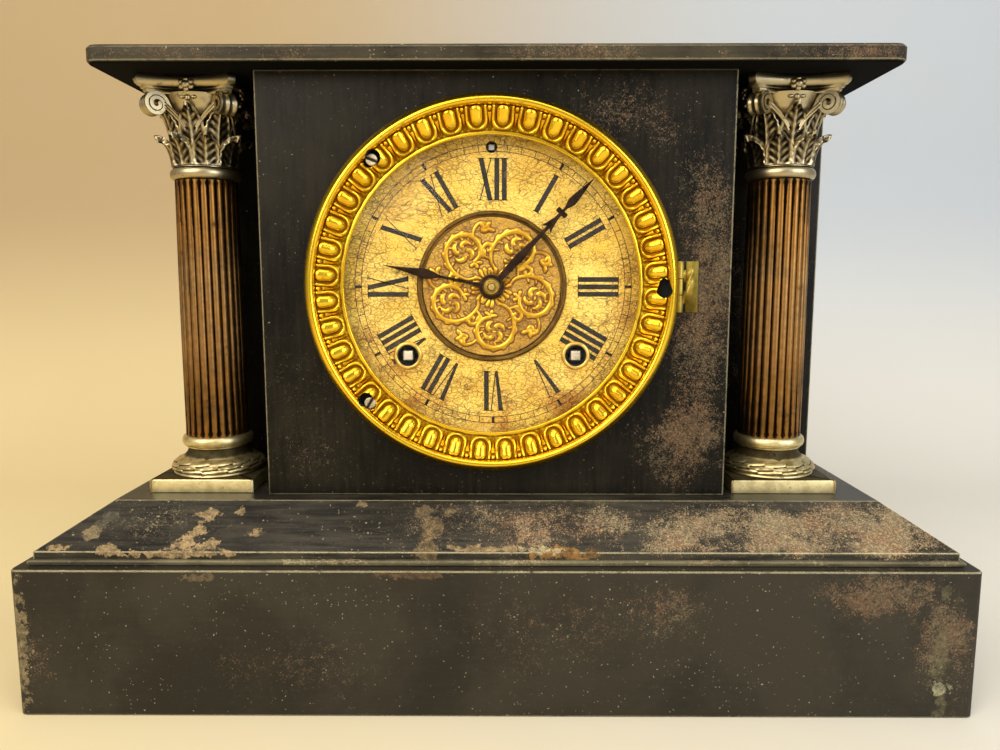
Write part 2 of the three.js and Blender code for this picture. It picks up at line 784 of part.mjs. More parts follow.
function sashFrame() {
  const ring = tubeDeep(bezelOpening + sashLap, bezelRadius + sashLip, sashFrontY, sashBackY, roundSides);
  const notchHalf = hingeBarrelRadius + sashNotch;
  const notchHeight = hingeHeight / 2 + hingeClear;
  const notch = block(hingeX - notchHalf, hingeX + notchHalf, sashFrontY - overcut, sashBackY + overcut,
    -notchHeight, notchHeight);
  const tongueHalf = knuckleHalf - hingeKnuckleGap;
  return fuse(cut(ring, notch), hingeKnuckle(hingeX - hingeBarrelRadius - sashTongue, hingeX,
    sashFrontY, sashBackY, -tongueHalf, tongueHalf));
}

function caseLeaf() {
  const leafFrontY = panelY - hingeLeafThickness;
  const ends = [-2, 2].map((step) => hingeKnuckle(hingeX, hingeX + hingeTab, leafFrontY, panelY,
    (step - 1) * knuckleHalf, (step + 1) * knuckleHalf));
  const leaf = block(hingeX + hingeBarrelRadius + hingeClear, hingeX + hingeLeafWidth, leafFrontY, panelY,
    -hingeHeight / 2, hingeHeight / 2);
  return fuse(leaf, ...ends);
}

function domedGlass() {
  const domeRadius = bezelOpening - glassEase;
  const glassRadius = bezelOpening + glassLap;
  const curve = (rimY) => Array.from({ length: glassSteps + 1 }, (_, i) => {
    const part = i / glassSteps;
    return [domeRadius * part, rimY - glassRise * (1 - part * part)];
  });
  return latheDeep([...curve(glassBackY), [glassRadius, glassBackY], [glassRadius, glassFrontY],
    ...curve(glassFrontY).reverse()], roundSides);
}

function giltRing() {
  const inner = bezelOpening;
  const outer = bezelRadius;
  const band = outer - bezelRimWidth;
  const crown = outer - bezelRimWidth / 2;
  const lipBack = glassFrontY - fitGap;
  const lipFront = lipBack - bezelSheet;
  const bandFront = lipFront - bezelOuterStep;
  const face = [[inner, lipBack], [inner, lipFront], [inner + bezelLipWidth, lipFront - bezelInnerStep],
    [band, bandFront], [band + rimToe, bezelRimY + rimToeDrop], [crown, bezelRimY],
    [outer - rimCheek, bezelRimY + rimCheekDrop], [outer, bezelRimY + rimSkirtDrop], [outer, bezelBackY]];
  const back = [[outer - bezelSheet, bezelBackY], [outer - bezelSheet, bezelRimY + rimSkirtDrop + fitGap],
    [crown, bezelRimY + rimCrownWall], [band + rimHollow, bandFront + bezelSheet + rimHollow],
    [inner + bezelBackLap, lipBack], [inner, lipBack]];
  const hole = (radius, turn) => moved(discDeep(radius, bezelRimY, bezelBackY + overcut, smallSides),
    ...polar(screwCircle, turn));
  const shift = degrees(keyholeShift / screwCircle);
  const keyholes = [...screwAngles, emptyKeyholeAngle].map((turn) => fuse(
    hole(keyholeRadius, turn), hole(keyholeSlotRadius, turn - shift)));
  return cut(latheDeep([...face, ...back], roundSides), ...keyholes);
}

addAtDial('sash_frame', sashFrame(), 'brass');
addAtDial('case_hinge_leaf', caseLeaf(), 'brass');
addAtDial('bezel_hinge_pin', discUp(hingePinRadius, -hingeHeight / 2, hingeHeight / 2, tinySides)
  .translate(hingeX, hingeY, 0), 'brass');
addAtDial('bezel_glass', domedGlass(), 'glass');
addAtDial('bezel_ring', giltRing(), 'gilt');
['upper', 'lower'].forEach((name, i) => {
  const headY = sashFrontY - screwStandoff;
  const screw = latheDeep([[0, headY - screwHeadHeight], [screwTopRadius, headY - screwHeadHeight],
    [screwHeadRadius, headY - screwEdgeHeight], [screwHeadRadius, headY], [screwShankRadius, headY],
    [screwShankRadius, sashFrontY], [0, sashFrontY]], smallSides);
  addAtDial(`${name}_bezel_screw`, moved(screw, ...polar(screwCircle, screwAngles[i])), 'steel');
});

// toothed wheels: wheels have pointed teeth, pinions have flat-topped leaves

const involute = (angle) => Math.tan(angle) - angle;

function toothed(teeth, module, phase, pointed) {
  const pitch = module * teeth / 2;
  const tip = pitch + addendum * module;
  const root = pitch - dedendum * module;
  const baseCircle = pitch * Math.cos(pressureAngle);
  const halfTooth = (r) => (Math.PI / 2 - backlash) / teeth + involute(pressureAngle)
    - involute(Math.acos(Math.min(1, baseCircle / r)));
  const tops = pointed ? [[tip, 0]] : [[tip, -1], [tip, 1]];
  const flanks = [[root, -1], ...tops, [root, 1]];
  return Array.from({ length: teeth }, (_, i) => flanks.map(([r, way]) => polar(
    r, degrees(phase + 2 * Math.PI * i / teeth + way * halfTooth(r))))).flat();
}

function crossings(hub, rim, arms) {
  const pitch = 360 / arms;
  const trim = (r) => degrees(armHalfWidth / r);
  return Array.from({ length: arms }, (_, i) => [
    polar(hub, pitch * i + trim(hub)), polar(rim, pitch * i + trim(rim)),
    polar(rim, pitch * (i + 0.5)), polar(rim, pitch * (i + 1) - trim(rim))]);
}

const rootOf = (teeth, module) => module * (teeth / 2 - dedendum);
const wheelAt = (teeth, module, phase, y0, hub = wheelHub, arms = wheelArms) => slabDeep(
  toothed(teeth, module, phase, true), y0, y0 + wheelThickness,
  crossings(hub, rootOf(teeth, module) - wheelRim, arms));
const pinionAt = (leaves, module, phase, y0, face) => slabDeep(toothed(leaves, module, phase), y0, y0 + face);
const facing = (from, to) => Math.atan2(to[1] - from[1], to[0] - from[0]);
const between = (from, to, leaves) => facing(to, from) + Math.PI / leaves;

// the spot at two given reaches from two others
function apart(a, reachA, b, reachB, side) {
  const gap = Math.hypot(b[0] - a[0], b[1] - a[1]);
  const along = (reachA ** 2 - reachB ** 2 + gap ** 2) / (2 * gap);
  const off = Math.sqrt(reachA ** 2 - along ** 2) * side;
  const [u, v] = [(b[0] - a[0]) / gap, (b[1] - a[1]) / gap];
  return [a[0] + u * along - v * off, a[1] + v * along + u * off];
}

const reach = (teeth, leaves, module) => module * (teeth + leaves) / 2;

// where the arbors stand, seen from the front and measured from the dial centre

const centre = [0, 0];
const timeBarrel = [windingX, -windingDrop];
const strikeBarrel = [-windingX, -windingDrop];
const second = apart(timeBarrel, reach(greatTeeth, secondLeaves, greatModule),
  centre, reach(secondTeeth, centreLeaves, secondModule), -1);
const lifting = [-second[0], second[1]];
const third = polar(reach(centreTeeth, thirdLeaves, centreModule), thirdAngle);
const escapeReach = reach(thirdTeeth, escapeLeaves, thirdModule);
const escape = [0, third[1] + Math.sqrt(escapeReach ** 2 - third[0] ** 2)];
const verge = [0, escape[1] + vergeRise];
const flyTurn = polar(reach(secondTeeth, flyLeaves, secondModule), flyAngle);
const fly = [lifting[0] + flyTurn[0], lifting[1] + flyTurn[1]];
const minuteStud = polar(reach(minuteTeeth, cannonLeaves, motionModule), minuteWheelAngle);
const hourModule = 2 * Math.hypot(...minuteStud) / (hourTeeth + hourLeaves);
const hammer = [hammerX, hammerZ];
const regulator = [0, regulatorRise];

// movement plates

const plateOutline = roundedRectangle(-plateHalfWidth, plateHalfWidth, plateBottom, plateTop, plateCorner,
  plateCornerSteps);
const pivotHole = (r, ...spots) => spots.map(([x, z]) => circlePoints(r + pivotClear, pivotSides, x, z));
const trainHoles = pivotHole(pivotRadius, second, lifting, third, escape, fly);
const windingHalfDiagonal = windingSquare / Math.SQRT2;
const frontHoles = [...trainHoles, ...pivotHole(pivotRadius, verge, hammer, minuteStud),
  ...pivotHole(arborRadius, centre, regulator), ...pivotHole(windingHalfDiagonal, timeBarrel, strikeBarrel)];
const backHoles = [...trainHoles, ...pivotHole(pivotRadius, centre, timeBarrel, strikeBarrel),
  ...pivotHole(arborRadius, verge, hammer, regulator)];
const pillars = (y0, y1) => [pillarTop, pillarBottom].flatMap((z) => [-pillarX, pillarX].map((x) => moved(
  discDeep(pillarRadius, y0, y1, tinySides), x, z)));
addAtDial('movement_front_plate', fuse(slabDeep(plateOutline, frontPlateY, innerFrontY, frontHoles),
  ...pillars(panelBackY, frontPlateY + pillarGrip)), 'brass');
addAtDial('movement_back_plate', fuse(slabDeep(plateOutline, innerBackY, backPlateY, backHoles),
  ...pillars(innerFrontY, innerBackY + pillarGrip)), 'brass');

// arbors: the thick stretch of each one starts behind the front plate unless a wheel needs the room

const frontPivot = (thickFrom) => [[0, frontPlateY], [pivotRadius, frontPlateY], [pivotRadius, thickFrom],
  [arborRadius, thickFrom]];
const backPivot = (radius) => [[radius, innerBackY - endShake], [pivotRadius, innerBackY - endShake],
  [pivotRadius, backPlateY], [0, backPlateY]];
const arborFrom = (thickFrom) => latheDeep([...frontPivot(thickFrom), ...backPivot(arborRadius)], tinySides);
const staffTo = (endY) => latheDeep([...frontPivot(innerFrontY + endShake), [arborRadius, endY], [0, endY]],
  tinySides);
const plainArbor = arborFrom(innerFrontY + endShake);

// power

function windingArbor() {
  const half = windingSquare / 2;
  const startY = innerFrontY + endShake;
  const springEndY = mainspringY + springHeight;
  const square = block(-half, half, panelBackY + windingTip, startY + windingSquareRoot, -half, half);
  const body = latheDeep([[0, startY], [windingRadius, startY], [windingRadius, mainspringY],
    [springHubRadius, mainspringY], [springHubRadius, springEndY], [windingRadius, springEndY],
    ...backPivot(windingRadius)], smallSides);
  const saw = Array.from({ length: ratchetTeeth }, (_, i) => [polar(ratchetRadius, 360 * i / ratchetTeeth),
    polar(ratchetRadius - ratchetDepth, 360 * (i + ratchetLean) / ratchetTeeth)]).flat();
  return fuse(body, square, slabDeep(saw, ratchetY, ratchetY + ratchetThickness));
}

// a flat spiral from the arbor's hub whose last stretch leaves the coil for the pillar
function mainspring(side) {
  const inner = springHubRadius + springHubClear + springThickness / 2;
  const pillar = [pillarX - windingX, pillarBottom + windingDrop];
  const endReach = Math.hypot(...pillar) - pillarRadius - springThickness;
  const endTurn = degrees(Math.atan2(pillar[1], pillar[0]));
  const count = springLoops * springStepsPerLoop;
  const tail = springStepsPerLoop / 4;
  const edge = (offset) => Array.from({ length: count + 1 }, (_, i) => {
    const coil = inner + (springOuter - inner) * Math.min(1, i / (count - tail));
    const out = Math.max(0, (i - count + tail) / tail);
    const r = coil + (endReach - springOuter) * out * out + offset;
    return polar(r, endTurn - 360 * (count - i) / springStepsPerLoop);
  });
  const outline = [...edge(springThickness / 2), ...edge(-springThickness / 2).reverse()];
  return slabDeep(outline.map(([x, z]) => [side * x, z]), mainspringY, mainspringY + springHeight);
}

const greatWheel = (spot, mate) => slabDeep(toothed(greatTeeth, greatModule, facing(spot, mate), true),
  greatY, greatY + greatThickness, [circlePoints(windingRadius + pivotClear + fitGap, smallSides),
    ...crossings(greatHub, rootOf(greatTeeth, greatModule) - greatRim, wheelArms)]);

const powers = [['time', timeBarrel, second, 1], ['strike', strikeBarrel, lifting, -1]];
for (const [name, spot, mate, side] of powers) {
  addAtDial(`${name}_winding_arbor`, moved(windingArbor(), ...spot), 'steel');
  addAtDial(`${name}_great_wheel`, moved(greatWheel(spot, mate), ...spot), 'brass');
  addAtDial(`${name}_mainspring`, moved(mainspring(side), ...spot), 'steel');
}

// going train

const greatPinion = (barrel, spot) => pinionAt(secondLeaves, greatModule, between(barrel, spot, secondLeaves),
  greatY - pinionOverlap / 2, greatThickness + pinionOverlap);
addAtDial('second_wheel', moved(fuse(plainArbor, greatPinion(timeBarrel, second),
  wheelAt(secondTeeth, secondModule, facing(second, centre), secondY)), ...second), 'brass');

const centreBore = arborRadius + pivotClear;
const centrePinionY = secondY - pinionShift;
addAtDial('centre_wheel', cut(fuse(
  tubeDeep(centreBore, centreBore + centreTube, centrePinionY, centreWheelY + wheelThickness, smallSides),
  pinionAt(centreLeaves, secondModule, between(second, centre, centreLeaves), centrePinionY, pinionFace),
  wheelAt(centreTeeth, centreModule, facing(centre, third), centreWheelY, centreHub)),
discDeep(centreBore, innerFrontY, innerBackY, smallSides)), 'brass');

addAtDial('third_wheel', moved(fuse(plainArbor,
  pinionAt(thirdLeaves, centreModule, between(centre, third, thirdLeaves), centreWheelY - pinionShift,
    pinionFace),
  wheelAt(thirdTeeth, thirdModule, facing(third, escape), thirdWheelY)), ...third), 'brass');

function escapeWheel() {
  const root = escapeRadius - escapeToothDepth;
  const saw = Array.from({ length: escapeTeeth }, (_, i) => [polar(escapeRadius, 360 * i / escapeTeeth),
    polar(root, 360 * (i + escapeToothLean) / escapeTeeth)]).flat();
  return slabDeep(saw, escapeY, escapeY + wheelThickness, crossings(wheelHub, root - escapeRim, motionArms));
}
addAtDial('escape_wheel', moved(fuse(arborFrom(thirdWheelY + pinionFace), escapeWheel(),
  pinionAt(escapeLeaves, thirdModule, between(third, escape, escapeLeaves), thirdWheelY - pinionShift,
    pinionFace)),
...escape), 'brass');

// verge, crutch and pendulum

function anchorOutline() {
  const [tipX, tipZ] = polar(escapeRadius + palletClear, 90 - palletAngle);
  const drop = tipZ - vergeRise;
  const half = [[tipX - palletInner, drop + palletHeel], [tipX + palletOuter, drop - palletToe],
    [tipX + palletBack, drop + palletRise], [anchorShoulder, anchorWaist], [anchorHubHalf, anchorHubTop]];
  return [[0, -anchorHubBottom], ...half, ...half.map(([x, z]) => [-x, z]).reverse()];
}

function vergeAndCrutch() {
  const wireY = backPlateY + crutchGap;
  const forkInner = rodRadius + forkClear;
  const forkOuter = forkInner + forkWall;
  const wire = rodBetween([0, wireY, 0], [0, wireY, -crutchLength], crutchWire, tinySides);
  const bar = block(-forkOuter, forkOuter, wireY - crutchWire, pendulumY + forkInner,
    -crutchLength - forkBelow, -crutchLength + forkAbove);
  const slot = block(-forkInner, forkInner, pendulumY - forkInner, pendulumY + forkInner + overcut,
    -crutchLength - forkBelow - overcut, -crutchLength + forkAbove + overcut);
  const anchor = slabDeep(anchorOutline(), escapeY - anchorLap, escapeY + wheelThickness + anchorLap);
  return fuse(staffTo(backPlateY + vergeTail), anchor, wire, cut(bar, slot));
}
addAtDial('verge', moved(vergeAndCrutch(), ...verge), 'steel');

const cockMiddle = cockRise + cockHeight / 2;
const cockBody = block(-cockHalfWidth, cockHalfWidth, backPlateY, pendulumY + springWidth, cockRise,
  cockRise + cockHeight);
const cockOpening = block(-cockSlot, cockSlot, pendulumY - springWidth, pendulumY + springWidth + overcut,
  cockRise - overcut, cockMiddle);
addAtDial('suspension_cock', moved(cut(cockBody, cockOpening), ...verge), 'brass');

const strip = block(-springStrip / 2, springStrip / 2, pendulumY - springWidth / 2,
  pendulumY + springWidth / 2, -stripDrop, cockMiddle - stripGap);
const rod = rodBetween([0, pendulumY, -rodDrop], [0, pendulumY, bobRadius - pendulumLength + fitGap],
  rodRadius, tinySides);
addAtDial('pendulum_rod', moved(fuse(strip, rod), ...verge), 'steel');
const bobProfile = Array.from({ length: bobSteps + 1 }, (_, i) => {
  const turn = Math.PI * i / bobSteps;
  return [i === bobSteps ? 0 : bobRadius * Math.sin(turn), pendulumY - bobThickness / 2 * Math.cos(turn)];
});
const bob = moved(latheDeep(bobProfile, coilSteps), 0, -pendulumLength);
addAtDial('pendulum_bob', moved(bob, ...verge), 'brass');

// motion work and hands

const hourHandY = panelBackY - hourHandLift;
const minuteHandY = panelBackY - minuteHandLift;
const minuteFrontY = minuteHandY - handThickness;
const nutFrontY = minuteFrontY - handNutHeight + arborTipRise;
const hourPipeOuter = centreBore + hourPipeWall;
const minuteStaff = latheDeep([[0, nutFrontY - arborTipRise], [arborRadius, nutFrontY - arborTipRise],
  ...backPivot(arborRadius)], smallSides);
addAtDial('minute_arbor', fuse(minuteStaff, pinionAt(cannonLeaves, motionModule,
  between(minuteStud, centre, cannonLeaves), cannonY - cannonOverlap / 2,
  wheelThickness + cannonOverlap)), 'steel');

const studFrontY = hourWheelY - studTip;
const studSeatY = frontPlateY - endShake;
const studStaff = latheDeep([[0, studFrontY], [arborRadius, studFrontY], [arborRadius, studSeatY],
  [pivotRadius, studSeatY], [pivotRadius, innerFrontY], [0, innerFrontY]], tinySides);
addAtDial('minute_wheel', moved(fuse(studStaff,
  wheelAt(minuteTeeth, motionModule, facing(minuteStud, centre), cannonY, wheelHub, motionArms),
  pinionAt(hourLeaves, hourModule, between(centre, minuteStud, hourLeaves), hourWheelY - hourPinionLead,
    pinionFace)),
...minuteStud), 'brass');

const hourFrontY = hourHandY - handThickness;
const hourPipe = tubeDeep(centreBore, hourPipeOuter, hourFrontY, hourWheelY + wheelThickness, smallSides);
addAtDial('hour_wheel', cut(fuse(hourPipe,
  wheelAt(hourTeeth, hourModule, facing(centre, minuteStud), hourWheelY, centreHub, motionArms)),
discDeep(centreBore, hourFrontY - overcut, frontPlateY, smallSides)), 'brass');

function hand(blade, length, turn, y, bossRadius, bore) {
  const heading = radians(90 - turn);
  const half = blade.map(([share, width]) => [share * length, width * handStem]);
  const whole = [...half, ...half.slice(0, -1).reverse().map(([r, w]) => [r, -w])];
  const outline = whole.map(([r, w]) => [r * Math.cos(heading) + w * Math.sin(heading),
    r * Math.sin(heading) - w * Math.cos(heading)]);
  const faceY = y - handThickness;
  return cut(fuse(slabDeep(outline, faceY, y), discDeep(bossRadius, faceY, y, smallSides)),
    discDeep(bore, faceY - overcut, y + overcut, smallSides));
}
const minuteHandLength = bezelOpening - minuteHandShort;
const hourHandLength = bezelOpening - hourHandShort;
const nutBore = arborRadius + fitGap;
addAtDial('hour_hand', hand(hourBlade, hourHandLength, hourHandAngle, hourHandY, hourBossRadius,
  hourPipeOuter + fitGap), 'blued');
addAtDial('minute_hand', hand(minuteBlade, minuteHandLength, minuteHandAngle, minuteHandY,
  minuteBossRadius, nutBore), 'blued');
const nutProfile = [[nutBore, minuteFrontY], [handNutRadius, minuteFrontY],
  [handNutTop, nutFrontY + handNutDish], [nutBore, nutFrontY], [nutBore, minuteFrontY]];
addAtDial('hand_nut', latheDeep(nutProfile, smallSides), 'brass');

// regulator

const regulatorHalf = regulatorSquare / 2;
const regulatorTipY = panelBackY + regulatorTip;
const regulatorRootY = regulatorTipY + regulatorSquareLength;
addAtDial('regulator_arbor', moved(fuse(
  discDeep(arborRadius, regulatorRootY - overcut, backPlateY - endShake, tinySides),
  block(-regulatorHalf, regulatorHalf, regulatorTipY, regulatorRootY, -regulatorHalf, regulatorHalf)),
...regulator), 'steel');

// strike train, hammer and gong

const pins = Array.from({ length: liftingPins }, (_, i) => moved(
  discDeep(liftingPinRadius, liftingY - liftingPinLength, liftingY + wheelThickness / 2, tinySides),
  ...polar(liftingPinCircle, 360 * (i + 0.5) / liftingPins)));
addAtDial('lifting_wheel', moved(fuse(plainArbor, greatPinion(strikeBarrel, lifting),
  wheelAt(secondTeeth, secondModule, facing(lifting, fly), liftingY), ...pins), ...lifting), 'brass');

const flyY = liftingY + wheelThickness + pinionShift + flyClear;
addAtDial('fly', moved(fuse(plainArbor,
  pinionAt(flyLeaves, secondModule, between(lifting, fly, flyLeaves), liftingY - pinionShift, pinionFace),
  block(-flyHalfWidth, flyHalfWidth, flyY, flyY + flyLength, -flyThickness / 2, flyThickness / 2)),
...fly), 'brass');

function gongCoil() {
  const steps = gongLoops * coilSteps;
  const inner = gongBoss + gongWire + fitGap;
  const points = Array.from({ length: steps + 1 }, (_, i) => {
    const [x, z] = polar(inner + (gongRadius - inner) * i / steps, 180 + 360 * i / coilSteps);
    return new THREE.Vector3(x, gongY, z);
  });
  const clear = (gongRadius - inner) / gongLoops - 2 * gongWire;
  console.log(`gong coil: least gap between loops ${clear.toFixed(2)} mm`);
  return new THREE.ExtrudeGeometry(shapeOf(circlePoints(gongWire, coilSides)),
    { steps, extrudePath: new THREE.CatmullRomCurve3(points) });
}
addAtDial('gong_coil', moved(gongCoil(), 0, -gongDrop), 'steel');

function gongStand() {
  const foot = ledgeZ - dialZ + gongDrop;
  const postY = gongY + gongWire + gongPostGap;
  const footY = postY - gongFootLead;
  return fuse(discDeep(gongBoss, gongY - gongWire, postY + gongPost * 2, smallSides),
    block(-gongPost, gongPost, postY, postY + gongPost * 2, foot, 0),
    block(-gongFootHalf, gongFootHalf, footY, footY + gongFootDepth, foot, foot + gongFootHeight));
}
addAtDial('gong_stand', moved(gongStand(), 0, -gongDrop), 'roughIron');

function strikeHammer() {
  const headEnd = -gongRadius - gongWire - hammerGap - hammerX;
  const headStart = headEnd - hammerHeadLength;
  const headZ = -gongDrop - hammerZ;
  const wireY = backPlateY + hammerWireGap;
  const elbow = [0, gongY, -hammerElbow];
  const knee = rodBetween([0, wireY, 0], elbow, hammerWire, tinySides);
  const shank = rodBetween(elbow, [(headStart + headEnd) / 2, gongY, headZ], hammerWire, tinySides);
  const head = rodBetween([headStart, gongY, headZ], [headEnd, gongY, headZ], hammerHeadRadius, smallSides);
  return fuse(staffTo(wireY + overcut), knee, shank, head);
}
addAtDial('strike_hammer', moved(strikeHammer(), ...hammer), 'steel');

export default group;
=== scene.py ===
import math

import bmesh
import bpy
import numpy as np
from mathutils import Matrix, Vector


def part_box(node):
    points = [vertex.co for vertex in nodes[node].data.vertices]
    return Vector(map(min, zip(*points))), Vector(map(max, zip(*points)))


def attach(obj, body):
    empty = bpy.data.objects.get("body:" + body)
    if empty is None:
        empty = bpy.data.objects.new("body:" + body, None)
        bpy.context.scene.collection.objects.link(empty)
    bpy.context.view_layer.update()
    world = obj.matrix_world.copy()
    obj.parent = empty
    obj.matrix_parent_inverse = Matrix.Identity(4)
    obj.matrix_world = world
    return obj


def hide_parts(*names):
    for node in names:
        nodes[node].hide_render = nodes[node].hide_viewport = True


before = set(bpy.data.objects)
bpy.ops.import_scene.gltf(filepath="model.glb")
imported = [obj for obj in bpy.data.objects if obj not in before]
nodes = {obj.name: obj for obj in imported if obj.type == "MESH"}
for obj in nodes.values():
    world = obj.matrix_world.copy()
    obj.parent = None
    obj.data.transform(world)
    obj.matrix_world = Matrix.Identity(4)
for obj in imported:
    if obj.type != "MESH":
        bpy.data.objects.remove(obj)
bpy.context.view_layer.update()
mm = 0.001  # metres in a millimetre
weldGap = 0.002  # millimetres
softAngle = 38  # degrees, sharper edges stay sharp
print("frame loaded:", len(nodes), "nodes")


def spot(name):  # the middle of a node's box, in millimetres
    low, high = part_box(name)
    return (low + high) * 0.5 / mm


def reach(name):  # a node's lowest and highest corners, in millimetres
    low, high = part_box(name)
    return low / mm, high / mm


dialSpot = spot("dial")
dialFace = reach("dial")[0].y


# mesh helpers

def shade(mesh, angle):
    mesh.polygons.foreach_set("use_smooth", [True] * len(mesh.polygons))
    mesh.set_sharp_from_angle(angle=math.radians(angle))


def linked(name, data):  # a new object in the scene
    piece = bpy.data.objects.new(name, data)
    bpy.context.scene.collection.objects.link(piece)
    return piece


def baked(piece):  # a piece's mesh with its modifiers run
    return bpy.data.meshes.new_from_object(piece.evaluated_get(bpy.context.evaluated_depsgraph_get()))


def settle(piece, angle=softAngle):  # welds doubles, turns faces outwards, sets the shading
    work = bmesh.new()
    work.from_mesh(piece.data)
    bmesh.ops.remove_doubles(work, verts=work.verts, dist=weldGap * mm)
    bmesh.ops.recalc_face_normals(work, faces=work.faces)
    work.to_mesh(piece.data)
    work.free()
    shade(piece.data, angle)
    return piece


def newPiece(name, parts, angle=softAngle, place=(0, 0, 0)):  # parts are (points, faces) in millimetres
    points, faces = [], []
    for some, facing in parts:
        faces += [[k + len(points) for k in face] for face in facing]
        points += [tuple((Vector(p) + Vector(place)) * mm) for p in some]
    mesh = bpy.data.meshes.new(name)
    mesh.from_pydata(points, [], faces)
    return settle(linked(name, mesh), angle)


def gridFaces(rows, columns, wrapRows=False, wrapColumns=False):
    faces = []
    for i in range(rows if wrapRows else rows - 1):
        for j in range(columns if wrapColumns else columns - 1):
            k, n = (i + 1) % rows, (j + 1) % columns
            faces.append((i * columns + j, i * columns + n, k * columns + n, k * columns + j))
    return faces


def capped(rows, columns):  # rings joined into a tube, closed at both ends
    last = rows * columns
    ends = [tuple(range(columns)), tuple(range(last - columns, last))]
    return gridFaces(rows, columns, wrapColumns=True) + ends


def turned(profile, sides=72, relief=None):  # a (radius, height) outline spun about Z
    points = []
    for i in range(sides):
        a = 2 * math.pi * i / sides
        for j, (r, z) in enumerate(profile):
            lift = relief(a, j / (len(profile) - 1)) if relief else 0
            points.append(((r + lift) * math.sin(a), -(r + lift) * math.cos(a), z))
    return points, gridFaces(sides, len(profile), wrapRows=True)


def swung(part):  # a part spun about Z is turned to face forward, so its axis is along Y
    return [(x, -z, y) for x, y, z in part[0]], part[1]


def tube(path, radii, sides=8, flat=1.0):  # a round bar along a path, thinner at its ends
    points = []
    path = [Vector(p) for p in path]
    for i, p in enumerate(path):
        along = (path[min(i + 1, len(path) - 1)] - path[max(i - 1, 0)]).normalized()
        side = along.cross(Vector((0, 1, 0)))
        side = side.normalized() if side.length > 1e-4 else Vector((1, 0, 0))
        over = side.cross(along)
        for k in range(sides):
            a = 2 * math.pi * k / sides
            points.append(p + side * math.cos(a) * radii[i] + over * math.sin(a) * radii[i] * flat)
    faces = gridFaces(len(path), sides, wrapColumns=True)
    for end, row in ((path[0], 0), (path[-1], len(path) - 1)):
        points.append(end)
        for k in range(sides):
            faces.append((row * sides + k, row * sides + (k + 1) % sides, len(points) - 1))
    return [tuple(p) for p in points], faces


def plate(outline, front, back, rim=0.12):  # a flat outline in the dial's plane, its front edge rounded off
    count, points = len(outline), []
    for y, inset in ((back, 0), (front + rim, 0), (front, rim)):
        for i, (x, z) in enumerate(outline):
            across = Vector(outline[(i + 1) % count]) - Vector(outline[i - 1])
            out = Vector((across.y, -across.x)).normalized() * inset
            points.append((x - out.x, y, z - out.y))
    return points, capped(3, count)


def bell(x, width):
    return math.exp(-(x / width) ** 2)


# node trees

def put(tree, kind, feeds=None, **settings):
    made = tree.nodes.new(kind)
    for name, value in settings.items():
        setattr(made, name, value)
    for key, value in (feeds or {}).items():
        if isinstance(value, bpy.types.NodeSocket):
            tree.links.new(value, made.inputs[key])
        else:
            made.inputs[key].default_value = value
    return made


def repeatTree():  # copies a segment round an axis through the origin
    tree = bpy.data.node_groups.new("repeatRound", "GeometryNodeTree")
    for name, kind in (("Segment", "Geometry"), ("Count", "Int"), ("Start", "Float"),
                       ("Axis", "Vector"), ("Weld", "Float"), ("Finish", "Material")):
        tree.interface.new_socket(name, in_out="INPUT", socket_type="NodeSocket" + kind)
    tree.interface.new_socket("Ring", in_out="OUTPUT", socket_type="NodeSocketGeometry")
    given = put(tree, "NodeGroupInput").outputs
    line = put(tree, "GeometryNodeMeshLine", {"Count": given["Count"], "Offset": (0, 0, 0)}).outputs[0]
    step = put(tree, "ShaderNodeMath", {0: 2 * math.pi, 1: given["Count"]}, operation="DIVIDE").outputs[0]
    index = put(tree, "GeometryNodeInputIndex").outputs[0]
    angle = put(tree, "ShaderNodeMath", {0: index, 1: step, 2: given["Start"]},
                operation="MULTIPLY_ADD").outputs[0]
    turn = put(tree, "FunctionNodeAxisAngleToRotation", {"Axis": given["Axis"], "Angle": angle}).outputs[0]
    copies = put(tree, "GeometryNodeInstanceOnPoints", {"Points": line, "Instance": given["Segment"],
                                                        "Rotation": turn}).outputs[0]
    real = put(tree, "GeometryNodeRealizeInstances", {"Geometry": copies}).outputs[0]
    weld = put(tree, "GeometryNodeMergeByDistance", {"Geometry": real, "Distance": given["Weld"]}).outputs[0]
    ring = put(tree, "GeometryNodeSetMaterial", {"Geometry": weld, "Material": given["Finish"]}).outputs[0]
    put(tree, "NodeGroupOutput", {"Ring": ring})
    return tree


def applyTree(piece, tree, values):  # runs a tree on a piece and keeps the result as a plain mesh
    modifier = piece.modifiers.new("nodes", "NODES")
    modifier.node_group = tree
    sockets = {s.name: s.identifier for s in tree.interface.items_tree if s.in_out == "INPUT"}
    for name, value in values.items():
        modifier[sockets[name]] = value
    made = baked(piece)
    piece.modifiers.remove(modifier)
    spare, piece.data = piece.data, made
    made.name = spare.name
    bpy.data.meshes.remove(spare)
    return piece


roundTree = repeatTree()
upAxis, dialAxis = (0.0, 0.0, 1.0), (0.0, 1.0, 0.0)


def ringOf(name, parts, count, axis, finish, start=0.0, place=(0, 0, 0), angle=softAngle):
    segment = newPiece(name, parts, angle)
    applyTree(segment, roundTree, {"Count": count, "Start": math.radians(start), "Axis": axis,
                                   "Weld": weldGap * mm, "Finish": finish})
    segment.data.transform(Matrix.Translation(Vector(place) * mm))
    return settle(segment, angle)


